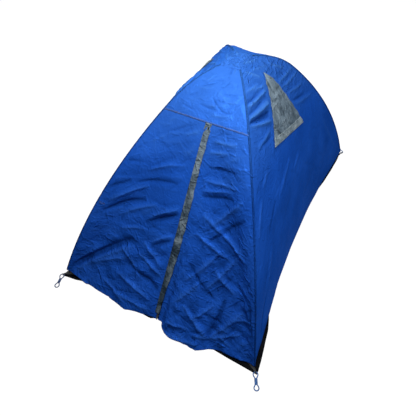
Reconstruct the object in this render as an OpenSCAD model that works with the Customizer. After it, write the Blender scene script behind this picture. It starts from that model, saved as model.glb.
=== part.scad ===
// Two-pole dome shelter: a cloth cover stretched over two crossed, shock-corded poles, with a black
// tub groundsheet, a zipped door under a storm flap, and a flapped vent high on each long side.
// Millimetres. The origin is on the ground under the crown, +Z is up and the door faces -Y.

/* [Overall] */
// Width of the cover at the ground, across the door side
base_w = 1300; // [1180:10:1450]
// Depth of the cover at the ground, from the door side to the rear
base_l = 2000; // [1800:10:2200]
// Height of the crown above the ground
crown_h = 1150; // [1080:10:1240]
// Bend radius of the ridges over the crown, in the diagonal plane
crown_r = 648; // [580:4:700]
// Half angle of the tight bend over the crown
crown_angle = 38.8; // [35:0.2:41]

/* [Cover] */
// Wall of the cover at the ridges, thicker than real cloth so that it is a solid
cover_t = 3; // [2:0.5:4]
// How far the long sides bow in at the ground
side_bow = 75; // [30:5:100]
// How far the rear side bows in at the ground
rear_bow = 45; // [20:5:80]
// Height at which the bow of a side has died out
bow_top = 850; // [700:10:950]
// Height of the hem along the middle of a side
hem_gap = 3; // [2.5:0.5:8]
// Height of the hem at the corners, where the groundsheet shows
corner_lift = 35; // [20:1:45]
// Length over which the hem rises towards a corner
lift_run = 180; // [120:10:240]
// Drop from the crown to the seam across the front
seam_drop = 160; // [150:5:200]
// Half diagonal of the small opening under the crown patch
crown_hole = 25; // [18:1:32]
// Half diagonal of the crown patch
patch_reach = 95; // [70:5:120]
// Clearance between pieces of cloth that lie on each other
cloth_gap = 1; // [0.8:0.1:1.2]

/* [Door] */
// Offset of the zip from the middle of the front
zip_x = 28; // [-40:1:40]
// Distance of the zip's top end below the seam, along the slope
door_top_drop = 10; // [8:1:30]
// Distance of the fold's foot from the corner
fold_margin = 50; // [40:1:80]
// Wall of a door leaf
leaf_t = 2; // [1.5:0.25:2.5]
// Gap along the fold between a leaf and the fixed cloth
fold_gap = 0.6; // [0.4:0.1:1]
// Outward belly of the right leaf at its hem
right_slack = 45; // [10:1:60]
// Outward belly of the left leaf at its hem
left_slack = 27; // [10:1:60]
// Number of soft folds that fan out over a leaf
leaf_folds = 3; // [2:1:4]
// Depth of those folds
fold_depth = 9; // [4:1:14]

/* [Storm flap] */
// Width of the storm flap
flap_w = 45; // [35:1:55]
// Distance of its sewn edge from the zip
flap_sewn = 22; // [16:1:26]
// Wall of the storm flap
flap_t = 2; // [1.5:0.25:2.5]
// Height of the flap's lower end, along the slope
flap_low = 48; // [44:1:80]
// Rise of its arched cross-section
flap_arch = 3; // [1:0.5:5]
// Waves along its free edge
flap_waves = 5; // [3:1:8]

/* [Zip] */
// Half width of the slot between the leaves
slot_half = 9; // [7.5:0.5:11]
// Width of one zip tape
tape_w = 24; // [20:1:28]
// Thickness of the tape
tape_t = 1; // [0.8:0.1:1.2]
// Width of one coil
coil_w = 3; // [2.6:0.1:3.2]
// Height of a coil
coil_h = 3.2; // [2.8:0.1:3.6]
// Gap between the two coils
coil_gap = 0.4; // [0.3:0.1:0.6]
// Running clearance between the slider and the zip
slider_gap = 0.35; // [0.3:0.05:0.4]
// Length of the slider
slider_l = 12; // [10:0.5:14]
// Width of the slider
slider_w = 11; // [10:0.5:12]
// Wall of the slider
slider_t = 1.2; // [1:0.1:1.5]
// Place of the closed slider above the ground, along the slope
slider_rest = 32; // [31:1:36]
// Length of the pull tab
pull_l = 26; // [22:1:27]

/* [Vents] */
// Place of a vent flap's top along the depth
vent_top_y = 30; // [-20:1:40]
// Width of its sewn top edge
vent_top_w = 44; // [30:1:60]
// Drop from the crown to the top edge
vent_top_drop = 52; // [45:1:70]
// Front lower corner, place along the depth
vent_front_y = -194; // [-230:1:-150]
// Front lower corner, drop from the crown
vent_front_drop = 319; // [280:1:360]
// Rear lower corner, place along the depth
vent_rear_y = 237; // [180:1:260]
// Rear lower corner, drop from the crown
vent_rear_drop = 415; // [360:1:440]
// Margin of cloth between the flap's edge and the vent's opening
vent_margin = 32; // [24:1:40]
// Wall of the vent flap
vent_t = 2; // [1.5:0.25:2.5]
// Clearance between the side panel and its vent flap and net
vent_gap = 1.9; // [1.8:0.1:2.4]

/* [Poles] */
// Diameter of a pole section
pole_d = 8.5; // [7.5:0.1:9.5]
// Bore of a pole section
pole_bore = 4; // [3.6:0.1:4.6]
// Depth of the upper pole's centre below the cover's ridge
pole_inset = 18; // [17:0.5:22]
// Gap between the poles where they cross
cross_gap = 0.5; // [0.3:0.1:1]
// Length of a joint ferrule
ferrule_l = 80; // [60:1:100]
// Wall of a ferrule
ferrule_wall = 1.15; // [0.8:0.05:1.3]
// Clearance of a ferrule or a keeper round the pole
sleeve_gap = 0.1; // [0.05:0.05:0.2]
// Diameter of the elastic cord inside a pole
shock_d = 2.6; // [2.2:0.1:3]
// Height of a pole's lower end
foot_h = 34; // [31:1:40]
// Diameter of a pole tip's pin
pin_d = 5; // [4:0.1:5.5]
// Length of a pole keeper
keeper_l = 20; // [14:1:30]

/* [Groundsheet] */
// Thickness of the floor
floor_t = 2.5; // [2:0.25:3.5]
// Height of the tub wall
tub_h = 70; // [50:1:90]
// Wall of the tub
tub_t = 3; // [2:0.25:4]
// Depth of the tub wall behind the sides of the cover
tub_inset = 16; // [14:0.5:22]
// Depth of the tub wall behind the door
tub_front_gap = 9; // [8:0.5:14]
// Length that the tub's corner is cut back along the front and the rear
tub_cut = 70; // [60:1:90]

/* [Corners] */
// Width of a webbing tab
tab_w = 40; // [30:1:50]
// Thickness of a tab
tab_t = 2.5; // [2:0.25:3]
// Reach of a tab past the corner
tab_reach = 15; // [12:1:25]
// Bore of an eyelet
eyelet_bore = 9; // [8.6:0.1:9.6]
// Outer diameter of an eyelet
eyelet_d = 20; // [18:0.5:24]
// Diameter of a peg loop's cord
loop_d = 5; // [4:0.25:5.5]
// Bend radius at both ends of a peg loop
loop_r = 11; // [10:0.5:14]
// Length of a peg loop, between the middles of its ends
loop_l = 72; // [60:1:90]

/* [Hidden] */
$fn = 48;
corner_names = ["left_front", "right_front", "right_rear", "left_rear"];
corner_signs = [[-1, -1], [1, -1], [1, 1], [-1, 1]];
// Directions in which the peg loops lie on the ground
loop_headings = [284, 296, 127, 53];
pole_names = ["left", "right"];
pole_sections = 7;
keepers_per_leg = 3;

// Small fixed sizes
spigot_l = 18;
eyelet_wall = 1.5;
eyelet_lip = 1.2;
seat_gap = 0.3;
knuckle_wall = 1.5;
knuckle_l = 8;
keeper_t = 1.6;
keeper_seat = 2.6;
net_t = 1;
patch_t = 2;
flap_seat = 0.5;
flap_wave = 4;
tape_low = 8;
tape_margin = 2;
leaf_nib = 4;
slot_rise = 3;
stop_l = 5;
stop_side = 1;
stop_lip = 0.4;
park_gap = 0.5;
coil_over = 1;
flap_end_gap = 3;
flange_w = 1.5;
post_w = 3;
post_l = 3.5;
lug_t = 1.2;
lug_l = 5;
lug_h = 3.6;
lug_gap = 2.2;
pull_pin_d = 1.6;
pull_pin_rise = 2.2;
pull_pin_gap = 0.1;
pull_side_gap = 0.3;
pull_eye_d = 4.2;
pull_w = 8;
pull_t = 1.8;
pull_neck_l = 4;
pull_hole_d = 3;
cord_end_gap = 0.5;
tub_side_end = 0.955;

// Shape of a leaf's belly and folds
belly_fade = 1.6;
belly_round = 1.5;
fold_fade = 0.7;
swell_start = 24;
swell_run = 50;
foot_ease = 20;

// Facets of the cloth panels
leg_rows = 10;
crown_rows = 10;
side_cols = 14;
rear_cols = 12;
upper_cols = 10;
front_rows = 12;
front_cols = 6;
leaf_rows = 11;
leaf_cols = 18;
flap_rows = 30;
flap_cols = 4;
vent_rows = 9;
vent_cols = 8;
patch_rings = 5;
tub_cols = 16;
cord_sides = 6;
arc_facets = 720;
tube_facets = 48;
cord_steps = 96;

// Ridge profile in the diagonal plane: a tight arc over the crown, then a slack arc down each leg
half_diag = norm([base_w, base_l]) / 2;
kx = base_w / 2 / half_diag;
ky = base_l / 2 / half_diag;
arc_drop = crown_h - crown_r * (1 - cos(crown_angle));
arc_reach = half_diag - crown_r * sin(crown_angle);
foot_angle = 2 * atan2(arc_drop, arc_reach) - crown_angle;
leg_r = norm([arc_drop, arc_reach]) / (2 * sin((foot_angle - crown_angle) / 2));
crown_cz = crown_h - crown_r;
leg_cx = (crown_r - leg_r) * sin(crown_angle);
leg_cz = crown_cz + (crown_r - leg_r) * cos(crown_angle);

// Angle on the leg at height z, for a line that lies d inside the cover
function leg_angle(z, d = 0) = acos((z - leg_cz) / (leg_r - d));
// Point [distance from the middle, height] of the profile at angle t, d inside the cover
function ridge(t, d = 0) = t > crown_angle
    ? [leg_cx + (leg_r - d) * sin(t), leg_cz + (leg_r - d) * cos(t)]
    : [(crown_r - d) * sin(t), crown_cz + (crown_r - d) * cos(t)];
// Distance of the profile from the middle at height z, d inside the cover
function reach_at(z, d = 0) = z > crown_cz + (crown_r - d) * cos(crown_angle)
    ? sqrt(max(0, pow(crown_r - d, 2) - pow(z - crown_cz, 2)))
    : leg_cx + sqrt(pow(leg_r - d, 2) - pow(z - leg_cz, 2));

function mix(a, b, f) = a + (b - a) * f;
function ease(f) = let (c = min(1, max(0, f))) c * c * (3 - 2 * c);
// Inward bow of a side at height z, where s runs from -1 to 1 between its ridges
function bow(depth, z, s) = depth * pow(max(0, 1 - z / bow_top), 1.3) * (1 - s * s);
// Height of the hem, a given distance along it from the corner
function hem(from_corner) = mix(hem_gap, corner_lift, ease(1 - from_corner / lift_run));

// Front: below the seam the cloth hangs in one flat slope from the seam to the front edge
seam_z = crown_h - seam_drop;
seam_angle = leg_angle(seam_z);
seam_y = ky * reach_at(seam_z);
slope_lean = atan2(base_l / 2 - seam_y, seam_z);
slope_l = norm([base_l / 2 - seam_y, seam_z]);
function slope_y(z) = -base_l / 2 + z * tan(slope_lean);

// Door: the zip runs straight up the slope, and each leaf folds about a line from its top to a corner
zip_top = slope_l - door_top_drop;
fold_foot_z = corner_lift;
fold_foot = fold_foot_z / cos(slope_lean);
right_foot_x = base_w / 2 - fold_margin - zip_x;
left_foot_x = base_w / 2 - fold_margin + zip_x;
// Distance of the fold from the zip, at v along the slope
function fold_x(v, foot_x) = foot_x * (zip_top - v) / (zip_top - fold_foot);
narrow_foot_x = min(right_foot_x, left_foot_x);
leaf_top = zip_top - (slot_half + leaf_nib) * (zip_top - fold_foot) / narrow_foot_x;
slot_top = zip_top + slot_rise;
slider_park = slot_top - stop_l - park_gap - slider_l / 2;
tape_mid = tape_t / 2;
coil_end = slider_rest - coil_over;
flap_top = zip_top - (flap_sewn + flap_end_gap) * (zip_top - fold_foot) / narrow_foot_x;

// Poles
inset_of = [pole_inset, pole_inset + pole_d + cross_gap];
ferrule_d = pole_d + 2 * sleeve_gap + 2 * ferrule_wall;
tip_d = ferrule_d;
tab_z = eyelet_lip + seat_gap;
eyelet_h = tab_z + tab_t + seat_gap + eyelet_lip;
knuckle_bore = loop_d + 2 * (knuckle_l * knuckle_l / 8 / loop_r + seat_gap);
knuckle_d = knuckle_bore + 2 * knuckle_wall;
function foot_angle_of(p) = leg_angle(foot_h, inset_of[p]);
function crown_arc(p) = (crown_r - inset_of[p]) * crown_angle * PI / 180;
function leg_arc(p) = (leg_r - inset_of[p]) * (foot_angle_of(p) - crown_angle) * PI / 180;
function pole_half(p) = crown_arc(p) + leg_arc(p);
function section_l(p) = 2 * pole_half(p) / pole_sections;
// Angle on the profile at an arc length from the crown
function angle_at(p, s) = s < crown_arc(p)
    ? s / (crown_r - inset_of[p]) * 180 / PI
    : crown_angle + (s - crown_arc(p)) / (leg_r - inset_of[p]) * 180 / PI;

// A cloth between an outer and an inner grid of points: rows run up, columns run to the right
module cloth(outer, inner) {
    rows = len(outer);
    cols = len(outer[0]);
    half = rows * cols;
    points = concat([for (r = outer, p = r) p], [for (r = inner, p = r) p]);
    function at(i, j) = i * cols + j;
    faces = [
        for (i = [0:rows - 2], j = [0:cols - 2])
            let (a = at(i, j), b = at(i, j + 1), c = at(i + 1, j + 1), d = at(i + 1, j))
            each [[a, d, c], [a, c, b], [a + half, c + half, d + half], [a + half, b + half, c + half]],
        for (j = [0:cols - 2])
            let (a = at(0, j), b = at(0, j + 1), d = at(rows - 1, j), c = at(rows - 1, j + 1))
            each [
                [b + half, a + half, a], [b + half, a, b],
                [d + half, c + half, c], [d + half, c, d]
            ],
        for (i = [0:rows - 2])
            let (a = at(i, 0), d = at(i + 1, 0), b = at(i, cols - 1), c = at(i + 1, cols - 1))
            each [
                [a + half, d + half, d], [a + half, d, a],
                [c + half, b + half, b], [c + half, b, c]
            ]
    ];
    polyhedron(points, faces);
}

function turned(row) = [for (j = [len(row) - 1:-1:0]) row[j]];

// Angles of a panel's rows, from the hem over the leg to the crown opening
top_angle = asin(crown_hole / crown_r);
function row_angle(i, low) = i <= leg_rows
    ? mix(low, crown_angle, i / leg_rows)
    : mix(crown_angle, top_angle, (i - leg_rows) / crown_rows);

// Right-hand side panel, between the ridges at s = -1 and s = 1
function side_point(s, t, d) =
    let (p = ridge(t, d))
    [kx * p.x - bow(side_bow, p.y, s), s * ky * p.x, p.y];
function side_grid(d) = [
    for (i = [0:leg_rows + crown_rows]) [
        for (j = [0:side_cols])
            let (s = 2 * j / side_cols - 1)
            side_point(s, row_angle(i, leg_angle(hem((1 - abs(s)) * base_l / 2))), d)
    ]
];

// Place on the side panel at depth y and height z, d inside the cover
function side_at(y, z, d) =
    let (reach = reach_at(z, d))
    [kx * reach - bow(side_bow, z, y / (ky * reach)), y, z];

vent_top = [[vent_top_y - vent_top_w / 2, crown_h - vent_top_drop],
    [vent_top_y + vent_top_w / 2, crown_h - vent_top_drop]];
vent_low = [[vent_front_y, crown_h - vent_front_drop], [vent_rear_y, crown_h - vent_rear_drop]];
vent_middle = (vent_top[0] + vent_top[1] + vent_low[0] + vent_low[1]) / 4;
// Corner of the vent, moved towards its middle by a margin
function vent_corner(p, margin) =
    let (way = vent_middle - p)
    p + way * margin / norm(way);
function vent_outline(margin) = [
    for (p = [vent_top[0], vent_low[0], vent_low[1], vent_top[1]]) vent_corner(p, margin)
];

// Patch of cloth on the side panel over the vent, d inside the cover
function vent_grid(margin, d) =
    let (q = vent_outline(margin))
    [
        for (i = [0:vent_rows])
            let (low = mix(q[1], q[0], i / vent_rows), high = mix(q[2], q[3], i / vent_rows))
            [
                for (j = [0:vent_cols])
                    let (p = mix(low, high, j / vent_cols))
                    side_at(p.x, p.y, d)
            ]
    ];

module side_panel() {
    difference() {
        cloth(side_grid(0), side_grid(cover_t));
        rotate([90, 0, 90])
            linear_extrude(base_w)
                polygon(vent_outline(vent_margin));
    }
}

module right_panel() {
    color("#1748ae") side_panel();
}

module left_panel() {
    color("#1748ae") mirror([1, 0, 0]) side_panel();
}

module vent_flap() {
    outer = vent_grid(0, -vent_gap - vent_t);
    inner = vent_grid(0, -vent_gap);
    color("#6f7f86") cloth(outer, inner);
}

module vent_flap_right() {
    vent_flap();
}

module vent_flap_left() {
    mirror([1, 0, 0]) vent_flap();
}

// Net sewn behind the vent's opening
module vent_mesh() {
    outer = vent_grid(vent_margin / 2, cover_t + vent_gap);
    inner = vent_grid(vent_margin / 2, cover_t + vent_gap + net_t);
    color("#1c1f24") cloth(outer, inner);
}

module vent_mesh_right() {
    vent_mesh();
}

module vent_mesh_left() {
    mirror([1, 0, 0]) vent_mesh();
}

// Rear panel, between the two rear ridges
function rear_point(s, t, d) =
    let (p = ridge(t, d))
    [-s * kx * p.x, ky * p.x - bow(rear_bow, p.y, s), p.y];
function rear_grid(d) = [
    for (i = [0:leg_rows + crown_rows]) [
        for (j = [0:rear_cols])
            let (s = 2 * j / rear_cols - 1)
            rear_point(s, row_angle(i, leg_angle(hem((1 - abs(s)) * base_w / 2))), d)
    ]
];

module rear_panel() {
    color("#1748ae") cloth(rear_grid(0), rear_grid(cover_t));
}

// Upper front panel, from the seam to the crown opening
function upper_angle(i) = i == 0 ? seam_angle : mix(crown_angle, top_angle, (i - 1) / crown_rows);
function upper_grid(d) = [
    for (i = [0:crown_rows + 1])
        let (p = ridge(upper_angle(i), d))
        [
            for (j = [0:upper_cols])
                let (s = 2 * j / upper_cols - 1)
                [s * kx * p.x, -ky * p.x, p.y]
        ]
];

module front_upper_panel() {
    color("#2f6fe0") cloth(upper_grid(0), upper_grid(cover_t));
}

// Fixed cloth of the lower front, from the fold or the zip's slot to a ridge
slot_top_z = slot_top * cos(slope_lean);
zip_top_z = zip_top * cos(slope_lean);
narrow_z = zip_top_z - slot_half * (zip_top_z - fold_foot_z) / narrow_foot_x;
front_heights = concat(
    [for (i = [0:front_rows]) mix(fold_foot_z, narrow_z, i / front_rows)],
    [zip_top_z, slot_top_z, slot_top_z + fold_gap, seam_z]
);
// Distance from the zip to the inner edge of the fixed cloth at height z
function fixed_edge(z, foot_x) = z > slot_top_z
    ? 0
    : max(slot_half, fold_x(z / cos(slope_lean), foot_x));
// Point of the fixed cloth: s runs from its inner edge to the ridge
function front_point(side, foot_x, z, s, d) =
    let (t = leg_angle(z))
    let (reach = reach_at(z))
    let (x = mix(zip_x + side * fixed_edge(z, foot_x), side * kx * reach, s))
    let (y = mix(slope_y(z), -ky * reach, ease(s)))
    [x - side * s * kx * d * sin(t), y + ky * d * sin(t), z - d * cos(t)];
function front_grid(side, foot_x, d) = [
    for (z = front_heights)
        let (row = [for (j = [0:front_cols]) front_point(side, foot_x, z, j / front_cols, d)])
        side > 0 ? row : turned(row)
];

module front_right_panel() {
    color("#1d57c4") cloth(front_grid(1, right_foot_x, 0), front_grid(1, right_foot_x, cover_t));
}

module front_left_panel() {
    color("#1d57c4") cloth(front_grid(-1, left_foot_x, 0), front_grid(-1, left_foot_x, cover_t));
}

// Reinforcing patch sewn over the crown: square rings that follow the four panels
function patch_ring(t, d) =
    let (p = ridge(t, d))
    [for (c = corner_signs) [c.x * kx * p.x, c.y * ky * p.x, p.y]];

module crown_patch() {
    steps = [for (i = [1:patch_rings]) asin(patch_reach / crown_r) * i / patch_rings];
    top = crown_cz + crown_r + cloth_gap;
    under = [for (t = steps) patch_ring(t, -cloth_gap)];
    over = [for (t = steps) patch_ring(t, -cloth_gap - patch_t)];
    last = 4 * patch_rings;
    points = concat(
        [[0, 0, top]],
        [for (r = under, p = r) p],
        [[0, 0, top + patch_t]],
        [for (r = over, p = r) p]
    );
    upper = last + 1;
    function low(i, k) = 1 + 4 * i + k % 4;
    function high(i, k) = upper + low(i, k);
    faces = [
        for (k = [0:3]) each [
            [0, low(0, k), low(0, k + 1)],
            [upper, high(0, k + 1), high(0, k)],
            [low(patch_rings - 1, k), high(patch_rings - 1, k), high(patch_rings - 1, k + 1)],
            [low(patch_rings - 1, k), high(patch_rings - 1, k + 1), low(patch_rings - 1, k + 1)]
        ],
        for (i = [0:patch_rings - 2], k = [0:3]) each [
            [low(i, k), low(i + 1, k), low(i + 1, k + 1)],
            [low(i, k), low(i + 1, k + 1), low(i, k + 1)],
            [high(i, k), high(i + 1, k + 1), high(i + 1, k)],
            [high(i, k), high(i, k + 1), high(i + 1, k + 1)]
        ]
    ];
    color("#2f6fe0") polyhedron(points, faces);
}

// Local frame of the sloping front: X across, Y up the slope from the front edge, Z outwards
module on_slope() {
    translate([zip_x, -base_l / 2, 0])
        rotate([90 - slope_lean, 0, 0])
            children();
}

// Door leaf: straight columns that fan out from the zip's top, with a belly and soft folds
function leaf_drop(c, foot_x) = hem((1 - c) * (foot_x - slot_half) + fold_margin);
function leaf_swell(c, f, x, slack) =
    let (belly = slack * pow(1 - f, belly_fade) * pow(sin(180 * c), belly_round))
    let (folds = fold_depth * (1 - fold_fade * f) * sin(180 * c) * (1 - cos(360 * leaf_folds * c)) / 2)
    (belly + folds) * ease((x - flap_w + flap_sewn - swell_start) / swell_run);
function leaf_point(c, f, foot_x, slack, d) =
    let (low_x = mix(slot_half, foot_x - fold_gap, c))
    let (high_x = mix(slot_half, fold_x(leaf_top, foot_x) - fold_gap, c))
    let (low_swell = leaf_swell(c, 0, low_x, slack))
    let (low_z = mix(leaf_drop(c, foot_x), fold_foot_z, ease(foot_ease * (c - 1) + 1)))
    let (low_v = (low_z - low_swell * sin(slope_lean)) / cos(slope_lean))
    let (x = mix(low_x, high_x, f))
    [x, mix(low_v, leaf_top - fold_gap, f), leaf_swell(c, f, x, slack) - d];
function leaf_grid(foot_x, slack, d) = [
    for (i = [0:leaf_rows]) [
        for (j = [0:leaf_cols]) leaf_point(j / leaf_cols, i / leaf_rows, foot_x, slack, d)
    ]
];

module door_right_leaf() {
    outer = leaf_grid(right_foot_x, right_slack, 0);
    inner = leaf_grid(right_foot_x, right_slack, leaf_t);
    color("#1d57c4") on_slope() cloth(outer, inner);
}

module door_left_leaf() {
    outer = leaf_grid(left_foot_x, left_slack, 0);
    inner = leaf_grid(left_foot_x, left_slack, leaf_t);
    color("#1d57c4") on_slope() mirror([1, 0, 0]) cloth(outer, inner);
}

// Storm flap: sewn to the left leaf along its left edge, arched over the zip
function flap_point(c, f, d) =
    let (wave = flap_wave * c * c * (1 - cos(360 * flap_waves * f)) / 2)
    let (lift = tape_t + flap_seat + flap_arch * sin(180 * c) + wave)
    [-flap_sewn + flap_w * c, mix(flap_low, flap_top, f), lift + d];
function flap_grid(d) = [
    for (i = [0:flap_rows]) [for (j = [0:flap_cols]) flap_point(j / flap_cols, i / flap_rows, d)]
];

module storm_flap() {
    color("#6f7f86") on_slope() cloth(flap_grid(flap_t), flap_grid(0));
}

// Zip tape, on the outside of one leaf, narrowed at the top where the leaf runs out
module zip_tape(foot_x) {
    wide_v = zip_top - (tape_w + tape_margin) * (zip_top - fold_foot) / foot_x;
    top_v = leaf_top - fold_gap;
    start = coil_gap / 2 + coil_w;
    translate([0, 0, tape_mid - tape_t / 2])
        linear_extrude(tape_t)
            polygon([
                [start, tape_low], [tape_w, tape_low], [tape_w, wide_v],
                [fold_x(top_v, foot_x) - tape_margin, top_v], [start, top_v]
            ]);
}

module zip_coil() {
    translate([coil_gap / 2, coil_end, tape_mid - coil_h / 2])
        cube([coil_w, leaf_top - fold_gap - coil_end, coil_h]);
}

module zip_tape_right() {
    color("#15181d") on_slope() zip_tape(right_foot_x);
}

module zip_tape_left() {
    color("#15181d") on_slope() mirror([1, 0, 0]) zip_tape(left_foot_x);
}

module zip_coil_right() {
    color("#0c0d10") on_slope() zip_coil();
}

module zip_coil_left() {
    color("#0c0d10") on_slope() mirror([1, 0, 0]) zip_coil();
}

// Fixed top of the zip, in the slot where the open slider parks
module zip_top_stop() {
    half_w = slot_half - fold_gap;
    coil_half = coil_gap / 2 + coil_w;
    color("#0c0d10") on_slope() {
        for (side = [0, 1])
            mirror([side, 0, 0])
                translate([coil_half - coil_over, leaf_top, tape_mid - tape_t / 2])
                    cube([half_w - coil_half + coil_over, slot_top - leaf_top - fold_gap, tape_t]);
        translate([-coil_half, slider_park - coil_over, tape_mid - coil_h / 2])
            cube([2 * coil_half, slot_top - stop_l - slider_park + 2 * coil_over, coil_h]);
        translate([-slider_w / 2 + stop_side, slot_top - stop_l, tape_mid - coil_h / 2 - stop_lip])
            cube([slider_w - 2 * stop_side, stop_l - fold_gap, coil_h + 2 * stop_lip]);
    }
}

// Slider: two flanged plates on a post, with lugs and a pin for the pull
slider_in = coil_h / 2 + slider_gap;
slider_out = slider_in + slider_t;
flange_in = tape_t / 2 + slider_gap;
pull_pin_h = tape_mid + slider_out + pull_pin_rise;

module slider_plate() {
    side = slider_w / 2;
    lip = side - flange_w;
    linear_extrude(slider_l, center = true)
        polygon([
            [-side, flange_in], [-side, slider_out], [side, slider_out], [side, flange_in],
            [lip, flange_in], [lip, slider_in], [-lip, slider_in], [-lip, flange_in]
        ]);
}

module zip_slider() {
    color("#2b2e33") on_slope() {
        translate([0, slider_rest, tape_mid]) {
            rotate([90, 0, 0]) slider_plate();
            rotate([-90, 0, 0]) mirror([1, 0, 0]) slider_plate();
            translate([-post_w / 2, -slider_l / 2, -slider_out])
                cube([post_w, post_l, 2 * slider_out]);
        }
        for (side = [-1, 1])
            translate([side * (lug_gap + lug_t / 2), slider_rest, tape_mid + slider_out])
                linear_extrude(lug_h)
                    square([lug_t, lug_l], center = true);
        translate([-lug_gap - lug_t / 2, slider_rest, pull_pin_h])
            rotate([0, 90, 0])
                cylinder(d = pull_pin_d, h = 2 * lug_gap + lug_t);
    }
}

// Pull tab, hanging down the slope from the slider's pin
module zip_pull() {
    eye_half = lug_gap - pull_side_gap;
    half = pull_w / 2;
    color("#15181d") on_slope()
        translate([0, slider_rest, pull_pin_h])
            difference() {
                union() {
                    rotate([0, 90, 0])
                        cylinder(d = pull_eye_d, h = 2 * eye_half, center = true);
                    translate([0, 0, -pull_t / 2])
                        linear_extrude(pull_t)
                            polygon([
                                [-eye_half, 0], [eye_half, 0], [eye_half, -pull_neck_l],
                                [half, -2 * pull_neck_l], [half, -pull_l], [-half, -pull_l],
                                [-half, -2 * pull_neck_l], [-eye_half, -pull_neck_l]
                            ]);
                }
                rotate([0, 90, 0])
                    cylinder(d = pull_pin_d + 2 * pull_pin_gap, h = 4 * eye_half, center = true);
                translate([0, pull_w / 2 - pull_l, -pull_t])
                    cylinder(d = pull_hole_d, h = 2 * pull_t);
            }
}

// Groundsheet: a flat floor with a low wall that leans in behind the cover
function tub_front_y(z, e) = slope_y(z) + (tub_front_gap + e) / cos(slope_lean);
function tub_end_x(z, e) = kx * reach_at(z, tub_inset) - tub_cut - e;
function tub_side(z, e, s) = [
    kx * reach_at(z, tub_inset) - e - bow(side_bow, z, s),
    s * ky * reach_at(z, tub_inset)
];
function tub_rear(z, e, x) = [
    x,
    ky * reach_at(z, tub_inset) - e - bow(rear_bow, z, x / (kx * reach_at(z, tub_inset)))
];
function mirrored(p) = [-p.x, p.y];
function tub_ring(z, e) =
    let (front = [[tub_end_x(z, e), tub_front_y(z, e)]])
    let (side = [for (i = [0:tub_cols]) tub_side(z, e, tub_side_end * (2 * i / tub_cols - 1))])
    let (rear = [for (i = [0:tub_cols / 2 - 1]) tub_rear(z, e, tub_end_x(z, e) * (1 - 2 * i / tub_cols))])
    let (half = concat(front, side, rear))
    let (middle = [tub_rear(z, e, 0)])
    concat(half, middle, [for (p = turned(half)) mirrored(p)]);

module groundsheet() {
    rise_from = floor_t / 2;
    loops = [
        [for (p = tub_ring(rise_from, 0)) [p.x, p.y, rise_from]],
        [for (p = tub_ring(tub_h, 0)) [p.x, p.y, tub_h]],
        [for (p = tub_ring(tub_h, tub_t)) [p.x, p.y, tub_h]],
        [for (p = tub_ring(rise_from, tub_t)) [p.x, p.y, rise_from]]
    ];
    n = len(loops[0]);
    faces = [
        for (l = [0:3], k = [0:n - 1])
            let (next = (l + 1) % 4, m = (k + 1) % n)
            each [
                [l * n + k, next * n + k, next * n + m],
                [l * n + k, next * n + m, l * n + m]
            ]
    ];
    color("#16181b") {
        linear_extrude(floor_t) polygon(tub_ring(0, 0));
        polyhedron([for (l = loops, p = l) p], faces);
    }
}

// Diagonal frame of a corner: X runs out through the corner
function corner_heading(c) = atan2(corner_signs[c].y * ky, corner_signs[c].x * kx);
function pole_of(c) = c % 2;

module at_corner(c) {
    rotate([0, 0, corner_heading(c)]) children();
}

// Frame of pole p at an arc length from the crown: X runs along the pole, Z out of the dome
module on_pole(p, s) {
    t = angle_at(p, s);
    at = ridge(t, inset_of[p]);
    translate([at.x, 0, at.y])
        rotate([0, t, 0])
            children();
}

// Tube that starts at the origin along X and bends down
module bent_tube(radius, length, outer_d, inner_d) {
    translate([0, 0, -radius])
        rotate([0, -90, -90])
            rotate_extrude(angle = length / radius * 180 / PI, $fn = arc_facets)
                translate([radius, 0])
                    difference() {
                        circle(d = outer_d, $fn = tube_facets);
                        circle(d = inner_d, $fn = tube_facets);
                    }
}

// Tube that follows one side of pole p from arc length a to b; its two arcs meet in the frame of their joint
module pole_run(p, a, b, outer_d, inner_d) {
    crown = crown_arc(p);
    tight = crown_r - inset_of[p];
    slack = leg_r - inset_of[p];
    if (b <= crown)
        on_pole(p, a) bent_tube(tight, b - a, outer_d, inner_d);
    else if (a >= crown)
        on_pole(p, a) bent_tube(slack, b - a, outer_d, inner_d);
    else
        on_pole(p, crown) {
            bent_tube(slack, b - crown, outer_d, inner_d);
            mirror([1, 0, 0]) bent_tube(tight, crown - a, outer_d, inner_d);
        }
}

// Length l of tube round pole p, centred at an arc length from the crown
module pole_tube(p, centre, l, outer_d, inner_d) {
    half_turn = centre < -l / 4 ? 180 : 0;
    middle = half_turn > 0 ? -centre : centre;
    rotate([0, 0, corner_heading(p) + half_turn])
        pole_run(p, middle - l / 2, middle + l / 2, outer_d, inner_d);
}

module pole_section(p, i) {
    centre = (i - (pole_sections + 1) / 2) * section_l(p);
    color("#1f2226") pole_tube(p, centre, section_l(p), pole_d, pole_bore);
}

module pole_ferrules(p) {
    color("#9aa0a6")
        for (i = [1:pole_sections - 1])
            pole_tube(p, (i - pole_sections / 2) * section_l(p), ferrule_l, ferrule_d, pole_d + 2 * sleeve_gap);
}

// Elastic cord that runs through the whole pole
function cord_ring(p, s) =
    let (t = angle_at(p, abs(s)))
    let (side = s < 0 ? -1 : 1)
    let (at = ridge(t, inset_of[p]))
    [
        for (k = [0:cord_sides - 1])
            let (out = shock_d / 2 * cos(360 * k / cord_sides))
            [side * (at.x + out * sin(t)), shock_d / 2 * sin(360 * k / cord_sides), at.y + out * cos(t)]
    ];

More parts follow.
